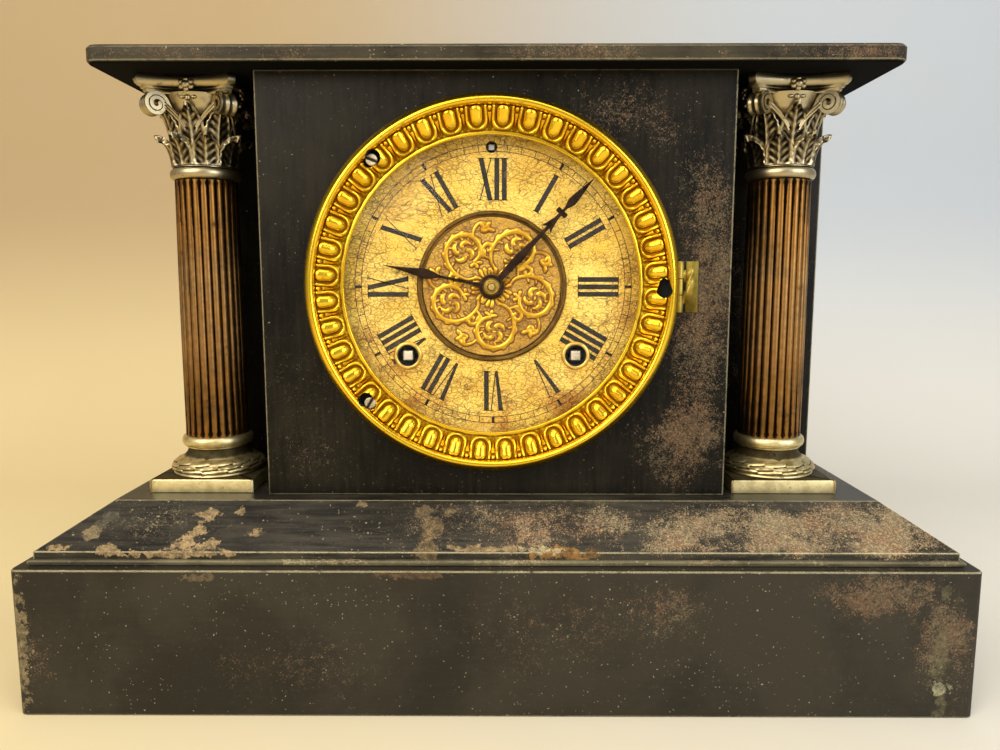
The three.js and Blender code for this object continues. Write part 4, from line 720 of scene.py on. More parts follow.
baseFlakes = (
    ((0.1870, -0.0825, 0.0290), (0.0040, 0.0040, 0.0220), 0.55, 160.0, (112, 104, 74)),
    ((0.1884, -0.0825, 0.0130), (0.0034, 0.0040, 0.0034), 0.8, 240.0, (170, 164, 128)),
    ((-0.2020, -0.0825, 0.0330), (0.0050, 0.0040, 0.0260), 0.7, 300.0, (150, 132, 96)),
    ((-0.0350, -0.0825, 0.0625), (0.0140, 0.0040, 0.0014), 0.6, 300.0, (112, 88, 58)),
    ((-0.1240, -0.0825, 0.0615), (0.0060, 0.0040, 0.0016), 0.6, 300.0, (124, 106, 76)))
baseRegions = (
    ((0.1620, -0.0825, 0.0540), (0.0420, 0.0200, 0.0150), 0.9),
    ((0.1850, -0.0825, 0.0380), (0.0160, 0.0200, 0.0300), 0.8),
    ((0.1950, -0.0825, 0.0250), (0.0120, 0.0200, 0.0300), 0.5),
    ((0.0750, -0.0825, 0.0450), (0.0240, 0.0200, 0.0220), 0.5),
    ((0.0300, -0.0825, 0.0400), (0.0700, 0.0200, 0.0260), 0.34),
    ((-0.0900, -0.0825, 0.0220), (0.0700, 0.0200, 0.0200), 0.34),
    ((-0.1950, -0.0825, 0.0250), (0.0140, 0.0200, 0.0260), 0.5))
panelRegions = (
    ((0.0930, -0.0430, 0.1500), (0.0240, 0.0200, 0.0640), 0.62),
    ((0.0600, -0.0430, 0.2560), (0.0460, 0.0200, 0.0180), 0.45),
    ((0.0800, -0.0430, 0.1080), (0.0340, 0.0200, 0.0240), 0.55),
    ((0.0960, -0.0430, 0.2100), (0.0160, 0.0200, 0.0500), 0.5),
    ((-0.0860, -0.0430, 0.1050), (0.0240, 0.0200, 0.0160), 0.25),
    ((0.0900, -0.0430, 0.1800), (0.0300, 0.0200, 0.1000), 0.22),
    ((0.1400, 0.0100, 0.1800), (0.0400, 0.0300, 0.1000), 0.4))
slabRegions = (
    ((-0.1500, -0.0545, 0.2790), (0.0400, 0.0200, 0.0060), 0.5),
    ((0.1450, -0.0545, 0.2790), (0.0500, 0.0200, 0.0060), 0.6),
    ((0.0300, -0.0545, 0.2790), (0.0600, 0.0200, 0.0060), 0.35))
# paint, grit, flecks, edge wear (also a painted highlight along the edges), dusty patches, flakes and
# roughness
baseIron = ironFinish("baseIron", greyPaint, 0.12, 0.5, 0.9, baseRegions, baseFlakes, 0.52, brushed=0.12)
slopeIron = ironFinish("slopeIron", dustPaint, 0.2, 0.3, 0.95, slopeRegions, slopeFlakes, 0.34)
panelIron = ironFinish("panelIron", panelPaint, 0.2, 0.2, 0.6, panelRegions, (), 0.34, (1.0, 1.0, 0.08),
                       brushed=0.3, shine=0.13)
slabIron = ironFinish("slabIron", slabPaint, 0.5, 0.4, 0.95, slabRegions, (), 0.42, brushed=0.3, shine=0.1)
beadIron = ironFinish("beadIron", beadPaint, 0.9, 0.4, 0.5)
wornAndHighlitIron = ironFinish("wornAndHighlitIron", wornAndHighlitPaint, 1.6, 0.3, 0.3)
castings = {"base_casting": (0.45, baseIron), "stepped_plinth": (0.42, slopeIron),  # edge rounding and finish
            "front_casting": (0.3, panelIron), "top_slab": (0.42, slabIron),
            "left_side_casting": (0.3, panelIron), "right_side_casting": (0.3, panelIron)}
for name, (width, finish) in castings.items():
    dress(softened(name, width, finish), "case", "black_iron", name)
print("castings softened")


# carried solids get their own finish, and those not named here are brass

wearing = {tinLook: ("back_sheet", "back_door"),
           steelFinish: ("back_door_pin", "left_tie_rod", "right_tie_rod", "left_rod_nut", "right_rod_nut",
                         "strike_hammer", "pendulum_rod", "verge", "regulator_arbor"),
           brightFinish: ("back_door_knob", "pendulum_bob"),
           dialFinish: ("dial",),
           groundFinish: ("dial_centre",),
           hingeFinish: ("sash_frame",),
           handFinish: ("bezel_hinge_pin", "gong_coil", "time_mainspring", "strike_mainspring"),
           glassLook: ("bezel_glass",),
           roughIron: ("gong_stand",),
           brassFinish: ("suspension_cock", "escape_wheel", "fly"),
           arborShineFinish: ("time_winding_arbor", "strike_winding_arbor")}
carried = {name: finish for finish, names in wearing.items() for name in names}
for name, node in nodes.items():
    node.data.materials.clear()
    node.data.materials.append(carried.get(name, brassFinish))
print("solids dressed:", len(nodes))


# small bead along the foot of the stepped plinth, on the base's ledge

footBead = {"round": 1.35, "sides": 14, "out": 0.55, "short": 0.1}


def plinthBead():
    low, high = reach("stepped_plinth")
    r, sides = footBead["round"], footBead["sides"]
    left, right = low.x - footBead["out"], high.x + footBead["out"]
    front, back = low.y - footBead["out"], high.y - footBead["short"]
    corners = ((left, back, -1, 0), (left, front, -1, -1), (right, front, 1, -1), (right, back, 1, 0))
    points = []
    for x, y, dx, dy in corners:  # mitred at the two front corners
        for k in range(sides):
            a = 2 * math.pi * k / sides
            points.append((x + dx * r * math.cos(a), y + dy * r * math.cos(a), low.z + r + r * math.sin(a)))
    bead = newPiece("plinth_foot_bead", [(points, capped(len(corners), sides))], 50)
    dress(bead, "case", "black_iron", finish=beadIron)


plinthBead()
print("bead laid")


# gilt bezel with its egg-and-dart band

bezel = {"eggs": 40, "first": 4.0, "across": 36, "along": 40, "smooth": 50,
         "eggHalf": 2.85, "eggFoot": 69.2, "eggCrown": 75.3, "eggHigh": 2.0, "eggTaper": 0.07, "eggDip": 0.2,
         "border": 1.35, "borderWide": 0.6, "borderHigh": 0.85, "beadAt": 76.3, "beadSize": 0.95,
         "beadHigh": 1.25, "dartTop": 74.6, "dartFoot": 67.6, "dartThin": 0.3, "dartWide": 0.95,
         "dartHigh": 1.05, "bandIn": 67.3, "bandOut": 77.4, "groundIn": -46.4, "groundOut": -49.3,
         "bore": 65.6, "lip": ((65.6, -46.2), (65.7, -46.5), (66.0, -46.62), (66.4, -46.55), (66.9, -46.42)),
         "edge": ((0.7, -48.9), (0.7, -47.3), (0, -46.9)), "backEdge": (0.4, 0.3), "cavity": (16, 0.2),
         "fadeIn": 0.6, "fadeOut": 0.5, "fadeLeft": 0.35,
         "rim": ((77.65, -50.3), (78.1, -51.3), (78.7, -51.9), (79.3, -52.1), (80.0, -52.0), (80.7, -51.5),
                 (81.3, -50.7), (82.2, -49.9))}  # radius and Y of the mouldings on both sides of the band
keyholes = {"at": ((133.4, 75.2), (222.7, 75.2), (359.8, 75.9)), "head": 3.2, "headAt": -1.3, "slot": 2.2,
            "slotAt": 1.8, "steps": 16, "front": -58.0, "floor": -44.7}  # at gives angle and radius


def bandLift(aside, r):  # height of the ornament at a place on the band
    half, crown = bezel["eggHalf"], bezel["eggCrown"]
    foot = bezel["eggFoot"] + half
    away = math.hypot(aside, max(0.0, foot - r)) - half
    taper = half - bezel["eggTaper"] * max(0.0, crown - r)
    inside = math.hypot(aside * half / taper, max(0.0, foot - r, (r - crown) * 1.1)) / half
    lift = 0.0
    if inside < 1:
        swell = 1.0 - bezel["eggDip"] * max(0.0, (foot - r) / half)
        lift = bezel["eggHigh"] * swell * max(0.0, 1 - inside ** 2) ** 0.6
    lift = max(lift, bezel["borderHigh"] * bell(away - bezel["border"], bezel["borderWide"]))
    gap = math.pi / bezel["eggs"] * r - abs(aside)
    bead = 1 - (gap ** 2 + (r - bezel["beadAt"]) ** 2) / bezel["beadSize"] ** 2
    if bead > 0:
        lift = max(lift, bezel["beadHigh"] * math.sqrt(bead))
    if bezel["dartFoot"] < r < bezel["dartTop"]:
        share = (r - bezel["dartFoot"]) / (bezel["dartTop"] - bezel["dartFoot"])
        wide = bezel["dartThin"] + bezel["dartWide"] * share ** 1.4
        lift = max(lift, bezel["dartHigh"] * (1 - gap / wide) if gap < wide else 0.0)
    return lift


def bezelSegment():
    low, high = reach("bezel_ring")
    outer, back = (high.x - low.x) / 2, high.y
    front = [(r, y, False) for r, y in bezel["lip"]]
    for i in range(bezel["along"] + 1):
        share = i / bezel["along"]
        r = bezel["bandIn"] + share * (bezel["bandOut"] - bezel["bandIn"])
        front.append((r, bezel["groundIn"] + share * (bezel["groundOut"] - bezel["groundIn"]),
                      0 < i < bezel["along"]))
    inset, up = bezel["backEdge"]
    edge = [(outer + more, y) for more, y in bezel["edge"]]
    edge += [(outer, back + up), (outer - inset, back), (bezel["bore"], back)]
    front += [(r, y, False) for r, y in (*bezel["rim"], *edge)]
    points, half = [], math.pi / bezel["eggs"]
    for i in range(bezel["across"] + 1):
        a = -half + 2 * half * i / bezel["across"]
        for r, y, carved in front:
            fade = min(1.0, (bezel["bandOut"] - r) / bezel["fadeOut"] + bezel["fadeLeft"],
                       (r - bezel["bandIn"]) / bezel["fadeIn"])
            lift = bandLift(a * r, r) * fade if carved else 0.0
            points.append((r * math.sin(a), y - lift, r * math.cos(a)))
    return points, gridFaces(bezel["across"] + 1, len(front), wrapColumns=True)


def keyholePart(turn, circle):  # a large round and a small one drawn together, seen from the front
    out = Vector((math.cos(turn), math.sin(turn)))
    along = Vector((-math.sin(turn), math.cos(turn)))
    rounds = ((keyholes["slotAt"], keyholes["slot"], 0), (keyholes["headAt"], keyholes["head"], 180))
    outline = []
    for aside, size, start in rounds:
        for i in range(keyholes["steps"] + 1):
            a = math.radians(start + 180 * i / keyholes["steps"])
            p = out * (circle + size * math.cos(a)) + along * (aside + size * math.sin(a))
            outline.append((dialSpot.x + p.x, dialSpot.z + p.y))
    points = [(x, y, z) for y in (keyholes["front"], keyholes["floor"]) for x, z in outline]
    return points, capped(2, len(outline))


bezelPiece = ringOf("egg_and_dart_bezel", [bezelSegment()], bezel["eggs"], dialAxis, giltFinish,
                    bezel["first"], (dialSpot.x, 0, dialSpot.z), bezel["smooth"])
# the keyhole walls and floors are painted black, a painted shade in the holes
cutAway(bezelPiece, [keyholePart(math.radians(turn), circle) for turn, circle in keyholes["at"]], holeShadeFinish)
shade(bezelPiece.data, bezel["smooth"])
storeCavity(bezelPiece, *bezel["cavity"])
dress(bezelPiece, "bezel", "gilt", "bezel_ring")
print("bezel:", len(bezelPiece.data.polygons), "faces")


# slotted screws of the bezel and the back sheet

slotScrew = {"round": 2.6, "high": 1.2, "slot": 1.0, "deep": 0.8, "root": 1.2, "rim": 0.3, "lap": 0.1,
             "steps": 20, "smooth": 30}
bezelScrews = {"upper_bezel_screw": 22, "lower_bezel_screw": 121}  # turn of each slot, degrees
backScrews = {"across": (-156, 0, 156), "up": (93, 180, 267), "size": 1.05, "lift": 0.05,
              "turn": (25, 40, 65)}  # degrees for the first, and more by column and row


def screwHead(name, middle, turn, size=1.0, behind=False):  # two half moons on a disc leave the slot between; the disc is painted black, a painted shade at the slot's floor
    r, half, high = slotScrew["round"] * size, slotScrew["slot"] * size / 2, slotScrew["high"] * size
    floor, root, steps = high - slotScrew["deep"] * size, slotScrew["root"], slotScrew["steps"]
    start = math.asin(half / r)
    angles = [start + (math.pi - 2 * start) * i / steps for i in range(steps + 1)]
    sides = [[(way * r * math.cos(a), way * r * math.sin(a)) for a in angles] for way in (1, -1)]
    moons = [plate(side, -high, -floor + slotScrew["lap"], slotScrew["rim"] * size) for side in sides]
    moons = newPiece("moons", moons, slotScrew["smooth"])
    disc = [(0, -root), (r, -root), (r, floor), (0, floor)]
    under = newPiece("under", [swung(turned(disc, 2 * steps))], slotScrew["smooth"])
    moons.data.materials.append(screwFinish)
    under.data.materials.append(holeShadeFinish)
    head = fuse(name, [moons, under], slotScrew["smooth"])
    about = Matrix.Rotation(math.pi if behind else 0, 4, "Z") @ Matrix.Rotation(math.radians(turn), 4, "Y")
    head.data.transform(Matrix.Translation(Vector(middle) * mm) @ about)
    return head


for name, turn in bezelScrews.items():
    at, front = spot(name), reach(name)[0].y
    place = (at.x, front + slotScrew["lap"], at.z)
    dress(screwHead(name + "_slotted", place, turn), "bezel", "steel", name)
face = reach("back_sheet")[1].y + backScrews["lift"]
first, byColumn, byRow = backScrews["turn"]
for column, x in enumerate(backScrews["across"]):
    for row, z in enumerate(backScrews["up"]):
        if (column, row) != (1, 1):  # the door is in the middle
            turn = first + byColumn * column + byRow * row
            piece = screwHead("back_screw_%d%d" % (column, row), (x, face, z), turn, backScrews["size"], True)
            dress(piece, "case", "steel")
print("screws set")


# columns: reeded shafts, leafy bases and capitals

shaftShape = {"reeds": 24, "deep": 1.5, "across": 12, "swell": 0.25, "taper": 0.6, "smooth": 60,
              "cavity": (8, 0.42), "shallow": 0.25, "round": 2.2,  # shallow: depth left at both ends
              "levels": ((0, 0.0), (0.006, 0.4), (0.014, 0.85), (0.024, 1.0), (0.35, 1.0), (0.65, 1.0),
                         (0.976, 1.0), (0.986, 0.85), (0.994, 0.4), (1, 0.0))}  # height, reed depth
baseShape = {"plinthHigh": 6.4, "plinthEdge": 0.7, "plinthFoot": 0.3, "cavity": (10, 0.22), "smooth": 40,
             "leaves": 12, "leafLong": 13.5, "leafWide": 3.25, "leafHigh": 0.75, "vein": 0.18,
             "veinWide": 0.25, "rows": 3, "rowAt": 0.24, "rowStep": 0.26, "rowWide": 12.0, "stagger": 0.37,
             "slant": 0.12, "belly": 20.6, "bulge": 1.2, "draw": 4.3, "rise": 6.6, "around": 20.5,
             "steps": 26, "sides": 220,
             "foot": ((0, -0.2), (20.2, -0.2), (21.0, 0.25), (20.6, 0.9)),  # radius, height above the plinth
             "neck": ((15.4, 8.3), (14.4, 9.6), (13.9, 11.0), (14.0, 12.0), (14.8, 12.2), (14.9, 12.8)),
             "collar": {"at": 14.9, "down": 2.6, "out": 1.65, "high": 2.45, "top": 14.6}}


def reedSegment(low, high):
    step, count, points = math.pi / shaftShape["reeds"], shaftShape["across"], []
    foot, shallow = (high.x - low.x) / 2, shaftShape["shallow"]
    for share, cut in shaftShape["levels"]:
        r = foot - shaftShape["taper"] * share + shaftShape["swell"] * math.sin(math.pi * share)
        for j in range(count + 1):
            s = 2 * j / count - 1
            crown = 1 - math.sqrt(max(0.0, 1 - abs(s) ** shaftShape["round"]))
            deep = shaftShape["deep"] * (shallow + (1 - shallow) * cut) * crown
            a = s * step
            z = low.z + share * (high.z - low.z)
            points.append(((r - deep) * math.sin(a), -(r - deep) * math.cos(a), z))
    return points, gridFaces(len(shaftShape["levels"]), count + 1)


def laurel(a, share):  # overlapping leaves laid round the torus
    lift, pitch = 0.0, 2 * math.pi * baseShape["around"] / baseShape["leaves"]
    for row in range(baseShape["rows"]):
        across = (share - baseShape["rowAt"] - baseShape["rowStep"] * row) * baseShape["rowWide"]
        along = (a * baseShape["around"] + row * pitch * baseShape["stagger"]) % pitch - pitch / 2
        tilt = across - baseShape["slant"] * along
        leaf = 1 - (2 * along / baseShape["leafLong"]) ** 2 - (2 * tilt / baseShape["leafWide"]) ** 2
        if leaf > 0:
            vein = baseShape["vein"] * bell(tilt, baseShape["veinWide"])
            lift = max(lift, baseShape["leafHigh"] * leaf ** 0.5 + vein)
    return lift


def baseParts(low, high):
    edge, rim, ring = baseShape["plinthEdge"], baseShape["plinthFoot"], []
    top = low.z + baseShape["plinthHigh"]
    levels = ((low.z, rim), (low.z + rim, 0), (top - edge, 0), (top - edge * 0.3, edge * 0.3), (top, edge))
    for z, inset in levels:
        h = (high.x - low.x) / 2 - inset
        for sx, sy in ((-1, -1), (1, -1), (1, 1), (-1, 1)):
            pair = [(sx * (h - edge), sy * h, z), (sx * h, sy * (h - edge), z)]
            ring += pair if sx * sy > 0 else pair[::-1]
    foot = [(r, top + up) for r, up in baseShape["foot"]]
    wrapped = []
    for i in range(baseShape["steps"] + 1):
        t = i / baseShape["steps"]
        r = baseShape["belly"] + baseShape["bulge"] * math.sin(t * math.pi) - baseShape["draw"] * t ** 2
        wrapped.append((r, foot[-1][1] + baseShape["rise"] * t))
    upper = [(r, top + up) for r, up in baseShape["neck"]]
    collar = baseShape["collar"]
    for d in range(-80, 81, 16):
        a = math.radians(d)
        upper.append((collar["at"] + collar["out"] * math.cos(a),
                      high.z - collar["down"] + collar["high"] * math.sin(a)))
    upper += [(collar["top"], high.z), (0, high.z)]
    garland = turned(wrapped, baseShape["sides"], lambda a, t: laurel(a, t) * min(1, 8 * t, 8 * (1 - t)))
    return [(ring, capped(len(levels), 8)), turned(foot + wrapped[:1]), garland, turned(wrapped[-1:] + upper)]


lowLeaf = {"rise": 13.2, "out": 20.4, "root": 14.6, "lean": 1.8, "half": 6.1, "grow": 0.9, "arch": 0.38,
           "point": 2.0, "rib": 0.55, "lip": 0.9, "hook": 0.8, "veins": 4.5, "swell": 0.1, "drop": 1.0}
highLeaf = {"rise": 25.6, "out": 20.2, "root": 14.0, "lean": 2.2, "half": 5.6, "grow": 2.2, "arch": 0.5,
            "point": 1.8, "rib": 0.8, "lip": 0.9, "hook": 0.8, "veins": 7.5, "swell": 0.1, "drop": 1.2}
leafShape = {"rows": 40, "columns": 22, "hookFrom": 0.86, "hookOut": 1.3, "climb": 1.3, "thick": 1.5,
             "cup": 1.1, "scallop": 0.07, "lipAt": 0.92, "lipWide": 0.17, "ribWide": 0.12, "ribFade": 0.45,
             "veinHigh": 0.26, "veinAt": 0.48, "veinWide": 0.34, "veinSlant": 1.4, "swellFrom": 0.25}


def leafPath(leaf, floor):  # radius and height up the middle of a leaf
    path = []
    for i in range(leafShape["rows"] + 1):
        t = i / leafShape["rows"]
        hook = max(0.0, (t - leafShape["hookFrom"]) / (1 - leafShape["hookFrom"]))
        r = leaf["root"] + (leaf["out"] - leaf["root"]) * t ** leaf["lean"]
        r += leafShape["hookOut"] * leaf["hook"] * hook
        z = floor + leaf["rise"] * (1 - (1 - t) ** leafShape["climb"]) - leaf["hook"] * hook ** 2
        path.append((r, z))
    return path


def leafLift(leaf, t, s):  # rib, lip and veins above the leaf's sheet
    vein = math.cos(2 * math.pi * (leaf["veins"] * t - leafShape["veinSlant"] * abs(s)))
    lift = leaf["lip"] * bell(abs(s) - leafShape["lipAt"], leafShape["lipWide"])
    lift += leaf["rib"] * bell(s, leafShape["ribWide"]) * (1 - leafShape["ribFade"] * t)
    lift += leafShape["veinHigh"] * vein * bell(abs(s) - leafShape["veinAt"], leafShape["veinWide"])
    return lift + leaf["swell"] * (1 - s * s) * (t - leafShape["swellFrom"])


def leafPart(leaf, turn, floor):  # one cupped acanthus leaf leaning out from the bell
    rows, columns, path = leafShape["rows"], leafShape["columns"], leafPath(leaf, floor)
    front, back = [], []
    for i, (r, z) in enumerate(path):
        t = i / rows
        close = max(0.0, (1 - (1 - t) ** leafShape["climb"] - leaf["arch"]) / (1 - leaf["arch"]))
        narrow = max(0.03, 1 - close ** leaf["point"]) ** (1 / leaf["point"])
        wide = (leaf["half"] + leaf["grow"] * t) * narrow
        wide *= 1 - leafShape["scallop"] * abs(math.sin(leaf["veins"] * math.pi * t)) ** 2
        (r0, z0), (r1, z1) = path[max(0, i - 1)], path[min(rows, i + 1)]
        length = math.hypot(r1 - r0, z1 - z0)
        nr, nz = (z1 - z0) / length, -(r1 - r0) / length
        for j in range(columns + 1):
            s = 2 * j / columns - 1
            a = turn + s * wide / max(r, leaf["root"])
            for store, rise in ((front, leafLift(leaf, t, s)), (back, -leafShape["thick"])):
                rr = r + nr * rise - leafShape["cup"] * s * s * t
                zz = z + nz * rise - leaf["drop"] * s * s * t ** 1.5
                store.append((rr * math.sin(a), -rr * math.cos(a), zz))
    count, wide = len(front), columns + 1
    sheet = gridFaces(rows + 1, wide)
    faces = sheet + [tuple(count + k for k in reversed(face)) for face in sheet]
    rim = [i * wide for i in range(rows + 1)] + [rows * wide + j for j in range(1, wide)]
    rim += [i * wide + columns for i in range(rows - 1, -1, -1)] + list(range(columns - 1, 0, -1))
    for here, there in zip(rim, rim[1:] + rim[:1]):
        faces.append((here, there, count + there, count + here))
    return front + back, faces


volute = {"size": 5.2, "wide": 3.5, "turns": 2.1, "steps": 45, "start": 165, "shrink": 0.8, "out": 22.6,
          "down": 12.6, "widen": 0.18, "widenFrom": 6, "high": 1.3,
          "stem": ((12.4, 18.0), (13.1, 22.0), (14.8, 27.0)),
          "section": ((-1, -0.55), (-1, 0.6), (-0.72, 0.6), (-0.58, 0.25), (-0.22, 0.25), (-0.1, 0.55),
                      (0.1, 0.55), (0.22, 0.25), (0.58, 0.25), (0.72, 0.6), (1, 0.6), (1, -0.55))}


def volutePart(foot, top):  # a grooved band rolled up at the corner, facing forward
    path, steps, section = [(r, foot + up) for r, up in volute["stem"]], volute["steps"], volute["section"]
    for i in range(steps + 1):
        turn = math.radians(volute["start"] - i * 360 * volute["turns"] / steps)
        r = volute["size"] * (1 - i / steps * volute["shrink"])
        path.append((volute["out"] + r * math.cos(turn), top - volute["down"] + r * math.sin(turn)))
    points = []
    for i, (r, z) in enumerate(path):
        (r0, z0), (r1, z1) = path[max(0, i - 1)], path[min(len(path) - 1, i + 1)]
        length = math.hypot(r1 - r0, z1 - z0)
        nr, nz = -(z1 - z0) / length * volute["high"], (r1 - r0) / length * volute["high"]
        grow = volute["wide"] * (1 + volute["widen"] * max(0, i - volute["widenFrom"]) / steps)
        points += [(w * grow, -(r + nr * h), z + nz * h) for w, h in section]
    return points, capped(len(path), len(section))


def blob(middle, radii, rows=9, columns=14):
    points = []
    for i in range(rows + 1):
        b = math.pi * i / rows
        for j in range(columns):
            a = 2 * math.pi * j / columns
            way = (math.sin(b) * math.cos(a), math.sin(b) * math.sin(a), math.cos(b))
            points.append(tuple(m + r * w for m, r, w in zip(middle, radii, way)))
    return points, gridFaces(rows + 1, columns, wrapColumns=True)


abacus = {"high": 7.8, "hollow": 4.4, "corner": 2.4, "steps": 14,  # levels are share of height and inset
          "levels": ((0.0, 3.6), (0.1, 3.0), (0.2, 2.9), (0.24, 2.2), (0.34, 2.0), (0.38, 1.3), (0.5, 0.45),
                     (0.66, 0.0), (0.82, 0.15), (0.94, 0.7), (1.0, 1.2))}


def abacusPart(half, top):  # concave sides, cut corners, two mouldings
    points, steps = [], abacus["steps"]
    for share, inset in abacus["levels"]:
        h, z = half - inset, top - abacus["high"] * (1 - share)
        for side in range(4):
            turn = Matrix.Rotation(side * math.pi / 2, 3, "Z")
            for i in range(steps + 1):
                s = 2 * i / steps - 1
                bow = (s * (h - abacus["corner"]), -(h - abacus["hollow"] * (1 - s * s)), z)
                points.append(tuple(turn @ Vector(bow)))
    return points, capped(len(abacus["levels"]), 4 * (steps + 1))


stems = {"steps": 13, "apart": (0.0, 1.5), "from": 9, "sweep": 33, "root": 15.6, "out": 5.4, "up": 21.0,
         "rise": 12.6, "thick": 0.62}
flower = {"heart": (3.6, 4.2), "heartSize": (2.0, 1.3, 1.7), "bud": (5.4, 9.6), "budSize": (1.5, 1.4, 1.5),
          "petals": 6, "petal": (4.1, 4.2), "spread": (2.5, 2.1), "petalSize": (1.35, 1.1, 1.15),
          "sepal": (5.6, 9.3), "aside": 2.6, "sepalSize": (1.5, 1.1, 0.9)}  # places are inward and down


def stemParts(foot):  # two pairs of thin stems that rise to the corners
    parts, steps = [], stems["steps"]
    for way in (-1, 1):
        for apart in stems["apart"]:
            path = []
            for i in range(steps + 1):
                t = i / steps
                a = math.radians(stems["from"] + stems["sweep"] * t) * way
                r = stems["root"] + stems["out"] * t ** 1.5
                z = foot + stems["up"] + apart + stems["rise"] * t ** 0.8
                path.append((r * math.sin(a), -r * math.cos(a), z))
            parts.append(tube(path, [stems["thick"]] * (steps + 1)))
    return parts


def flowerParts(half, top):  # a flower in the middle of the abacus, with a bud below it
    def at(place, aside=0.0, up=0.0):
        return aside, place[0] - half, top - place[1] + up

    parts = [blob(at(flower["heart"]), flower["heartSize"]), blob(at(flower["bud"]), flower["budSize"])]
    for k in range(flower["petals"]):
        a = math.radians(360 / flower["petals"] * k + 30)
        out = flower["spread"][0] * math.cos(a), flower["spread"][1] * math.sin(a)
        parts.append(blob(at(flower["petal"], *out), flower["petalSize"], 7, 10))
    for way in (-1, 1):
        parts.append(blob(at(flower["sepal"], way * flower["aside"]), flower["sepalSize"], 7, 10))
    return parts


capitalShape = {"leaves": 8, "lowFoot": 6.4, "highFoot": 6.6, "cavity": (12, 0.3),
                "collar": {"at": 14.2, "up": 2.9, "out": 1.75, "high": 2.5},
                "bell": ((13.9, 5.6), (14.6, 5.8), (14.6, 6.5), (13.4, 6.7), (13.4, 16), (14.2, 26),
                         (16.0, 33), (18.0, 36.6), (18.2, 37.6), (0, 37.6))}  # radius, height above the foot


def capitalPiece(side, place):
    low, high = reach(side + "_capital")
    foot, half, leaves, collar = low.z, (high.x - low.x) / 2, capitalShape["leaves"], capitalShape["collar"]
    ring = [(0, foot)]
    for d in range(-90, 91, 15):
        a = math.radians(d)
        ring.append((collar["at"] + collar["out"] * math.cos(a),
                     foot + collar["up"] + collar["high"] * math.sin(a)))
    ring += [(r, foot + up) for r, up in capitalShape["bell"]]
    parts = [newPiece(side + "_bell", [turned(ring), abacusPart(half, high.z)], 40, place)]
    around = (("low", [leafPart(lowLeaf, math.pi / leaves, foot + capitalShape["lowFoot"])], leaves, 0, 60),
              ("up", [leafPart(highLeaf, 0.0, foot + capitalShape["highFoot"])], leaves, 0, 60),
              ("rolls", [volutePart(foot, high.z)], 4, 45, 40),
              ("sides", stemParts(foot) + flowerParts(half, high.z), 4, 0, 60))
    for name, segment, count, start, angle in around:
        parts.append(ringOf(name, segment, count, upAxis, capitalFinish, start, place, angle))
    capital = storeCavity(fuse(side + "_leafy_capital", parts, 45), *capitalShape["cavity"])
    return dress(capital, "case", "antique_brass", side + "_capital", finish=capitalFinish)


def columnPieces(side):
    at = spot(side + "_column_shaft")
    place = (at.x, at.y, 0)
    reed = reedSegment(*reach(side + "_column_shaft"))
    shaft = ringOf(side + "_reeded_shaft", [reed], shaftShape["reeds"], upAxis, copperFinish, 0, place,
                   shaftShape["smooth"])
    storeCavity(shaft, *shaftShape["cavity"])
    dress(shaft, "case", "copper_bronze", side + "_column_shaft", finish=copperFinish)
    base = newPiece(side + "_leafy_base", baseParts(*reach(side + "_column_base")),
                    baseShape["smooth"], place)
    storeCavity(base, *baseShape["cavity"])
    dress(base, "case", "antique_brass", side + "_column_base", finish=baseFinish)
    pieces = (shaft, base, capitalPiece(side, place))
    print(side, "column:", sum(len(piece.data.polygons) for piece in pieces), "faces")


for side in ("left", "right"):
    columnPieces(side)


# dial print: numerals, minute track and the two regulator marks

dialPrint = {"foot": 38.3, "head": 56.8, "serif": 0.36, "track": (59.6, 62.5), "line": 0.3, "arc": 1.5,
             "tick": 0.32, "block": 1.25, "lift": 0.05, "aside": 0.6, "marks": {"S": -6.2, "F": 4.6},
             "markUp": 62.2, "markSize": 3.0,
             "holes": {"left_eyelet": 5.6, "right_eyelet": 5.6, "regulator_arbor": 2.65}, "holeSides": 24}
numerals = ("XII", "I", "II", "III", "IIII", "V", "VI", "VII", "VIII", "IX", "X", "XI")
# advance, corners of each bar at foot and head, and serifs as middle, foot 0 or head 1, half width
letters = {
    "I": (3.3, ((-1.1, 1.1, 1.1, -1.1),), ((0, 0, 1.75), (0, 1, 1.75))),
    "V": (6.2, ((-0.45, 0.75, -0.85, -3.0), (0.25, 0.73, 2.84, 2.36)), ((-1.9, 1, 1.75), (2.55, 1, 1.05))),
    "X": (6.8, ((0.95, 3.15, -0.95, -3.15), (-2.74, -2.26, 2.74, 2.26)),
          ((2.05, 0, 1.75), (-2.05, 1, 1.75), (-2.5, 0, 1.05), (2.5, 1, 1.05)))}
quadFace = [(0, 1, 2, 3)]


def strokes(letter):  # the quads of one letter, across and up
    low, high = dialPrint["foot"], dialPrint["head"]
    quads = [((a, low), (b, low), (c, high), (d, high)) for a, b, c, d in letters[letter][1]]
    for middle, end, half in letters[letter][2]:
        at, tall = (high, -dialPrint["serif"]) if end else (low, dialPrint["serif"])
        left, right = middle - half, middle + half
        quads.append(((left, at), (right, at), (right, at + tall), (left, at + tall)))
    return quads


def numeralParts():
    parts = []
    for hour, word in enumerate(numerals):
        turn = Matrix.Rotation(math.radians(30 * hour), 3, "Y")
        across = -sum(letters[c][0] for c in word) / 2
        for letter in word:
            wide = letters[letter][0]
            shift = across + wide / 2
            for quad in strokes(letter):
                points = [tuple(turn @ Vector((x + shift, 0, z))) for x, z in quad]
                parts.append((points, quadFace))
            across += wide
    return parts


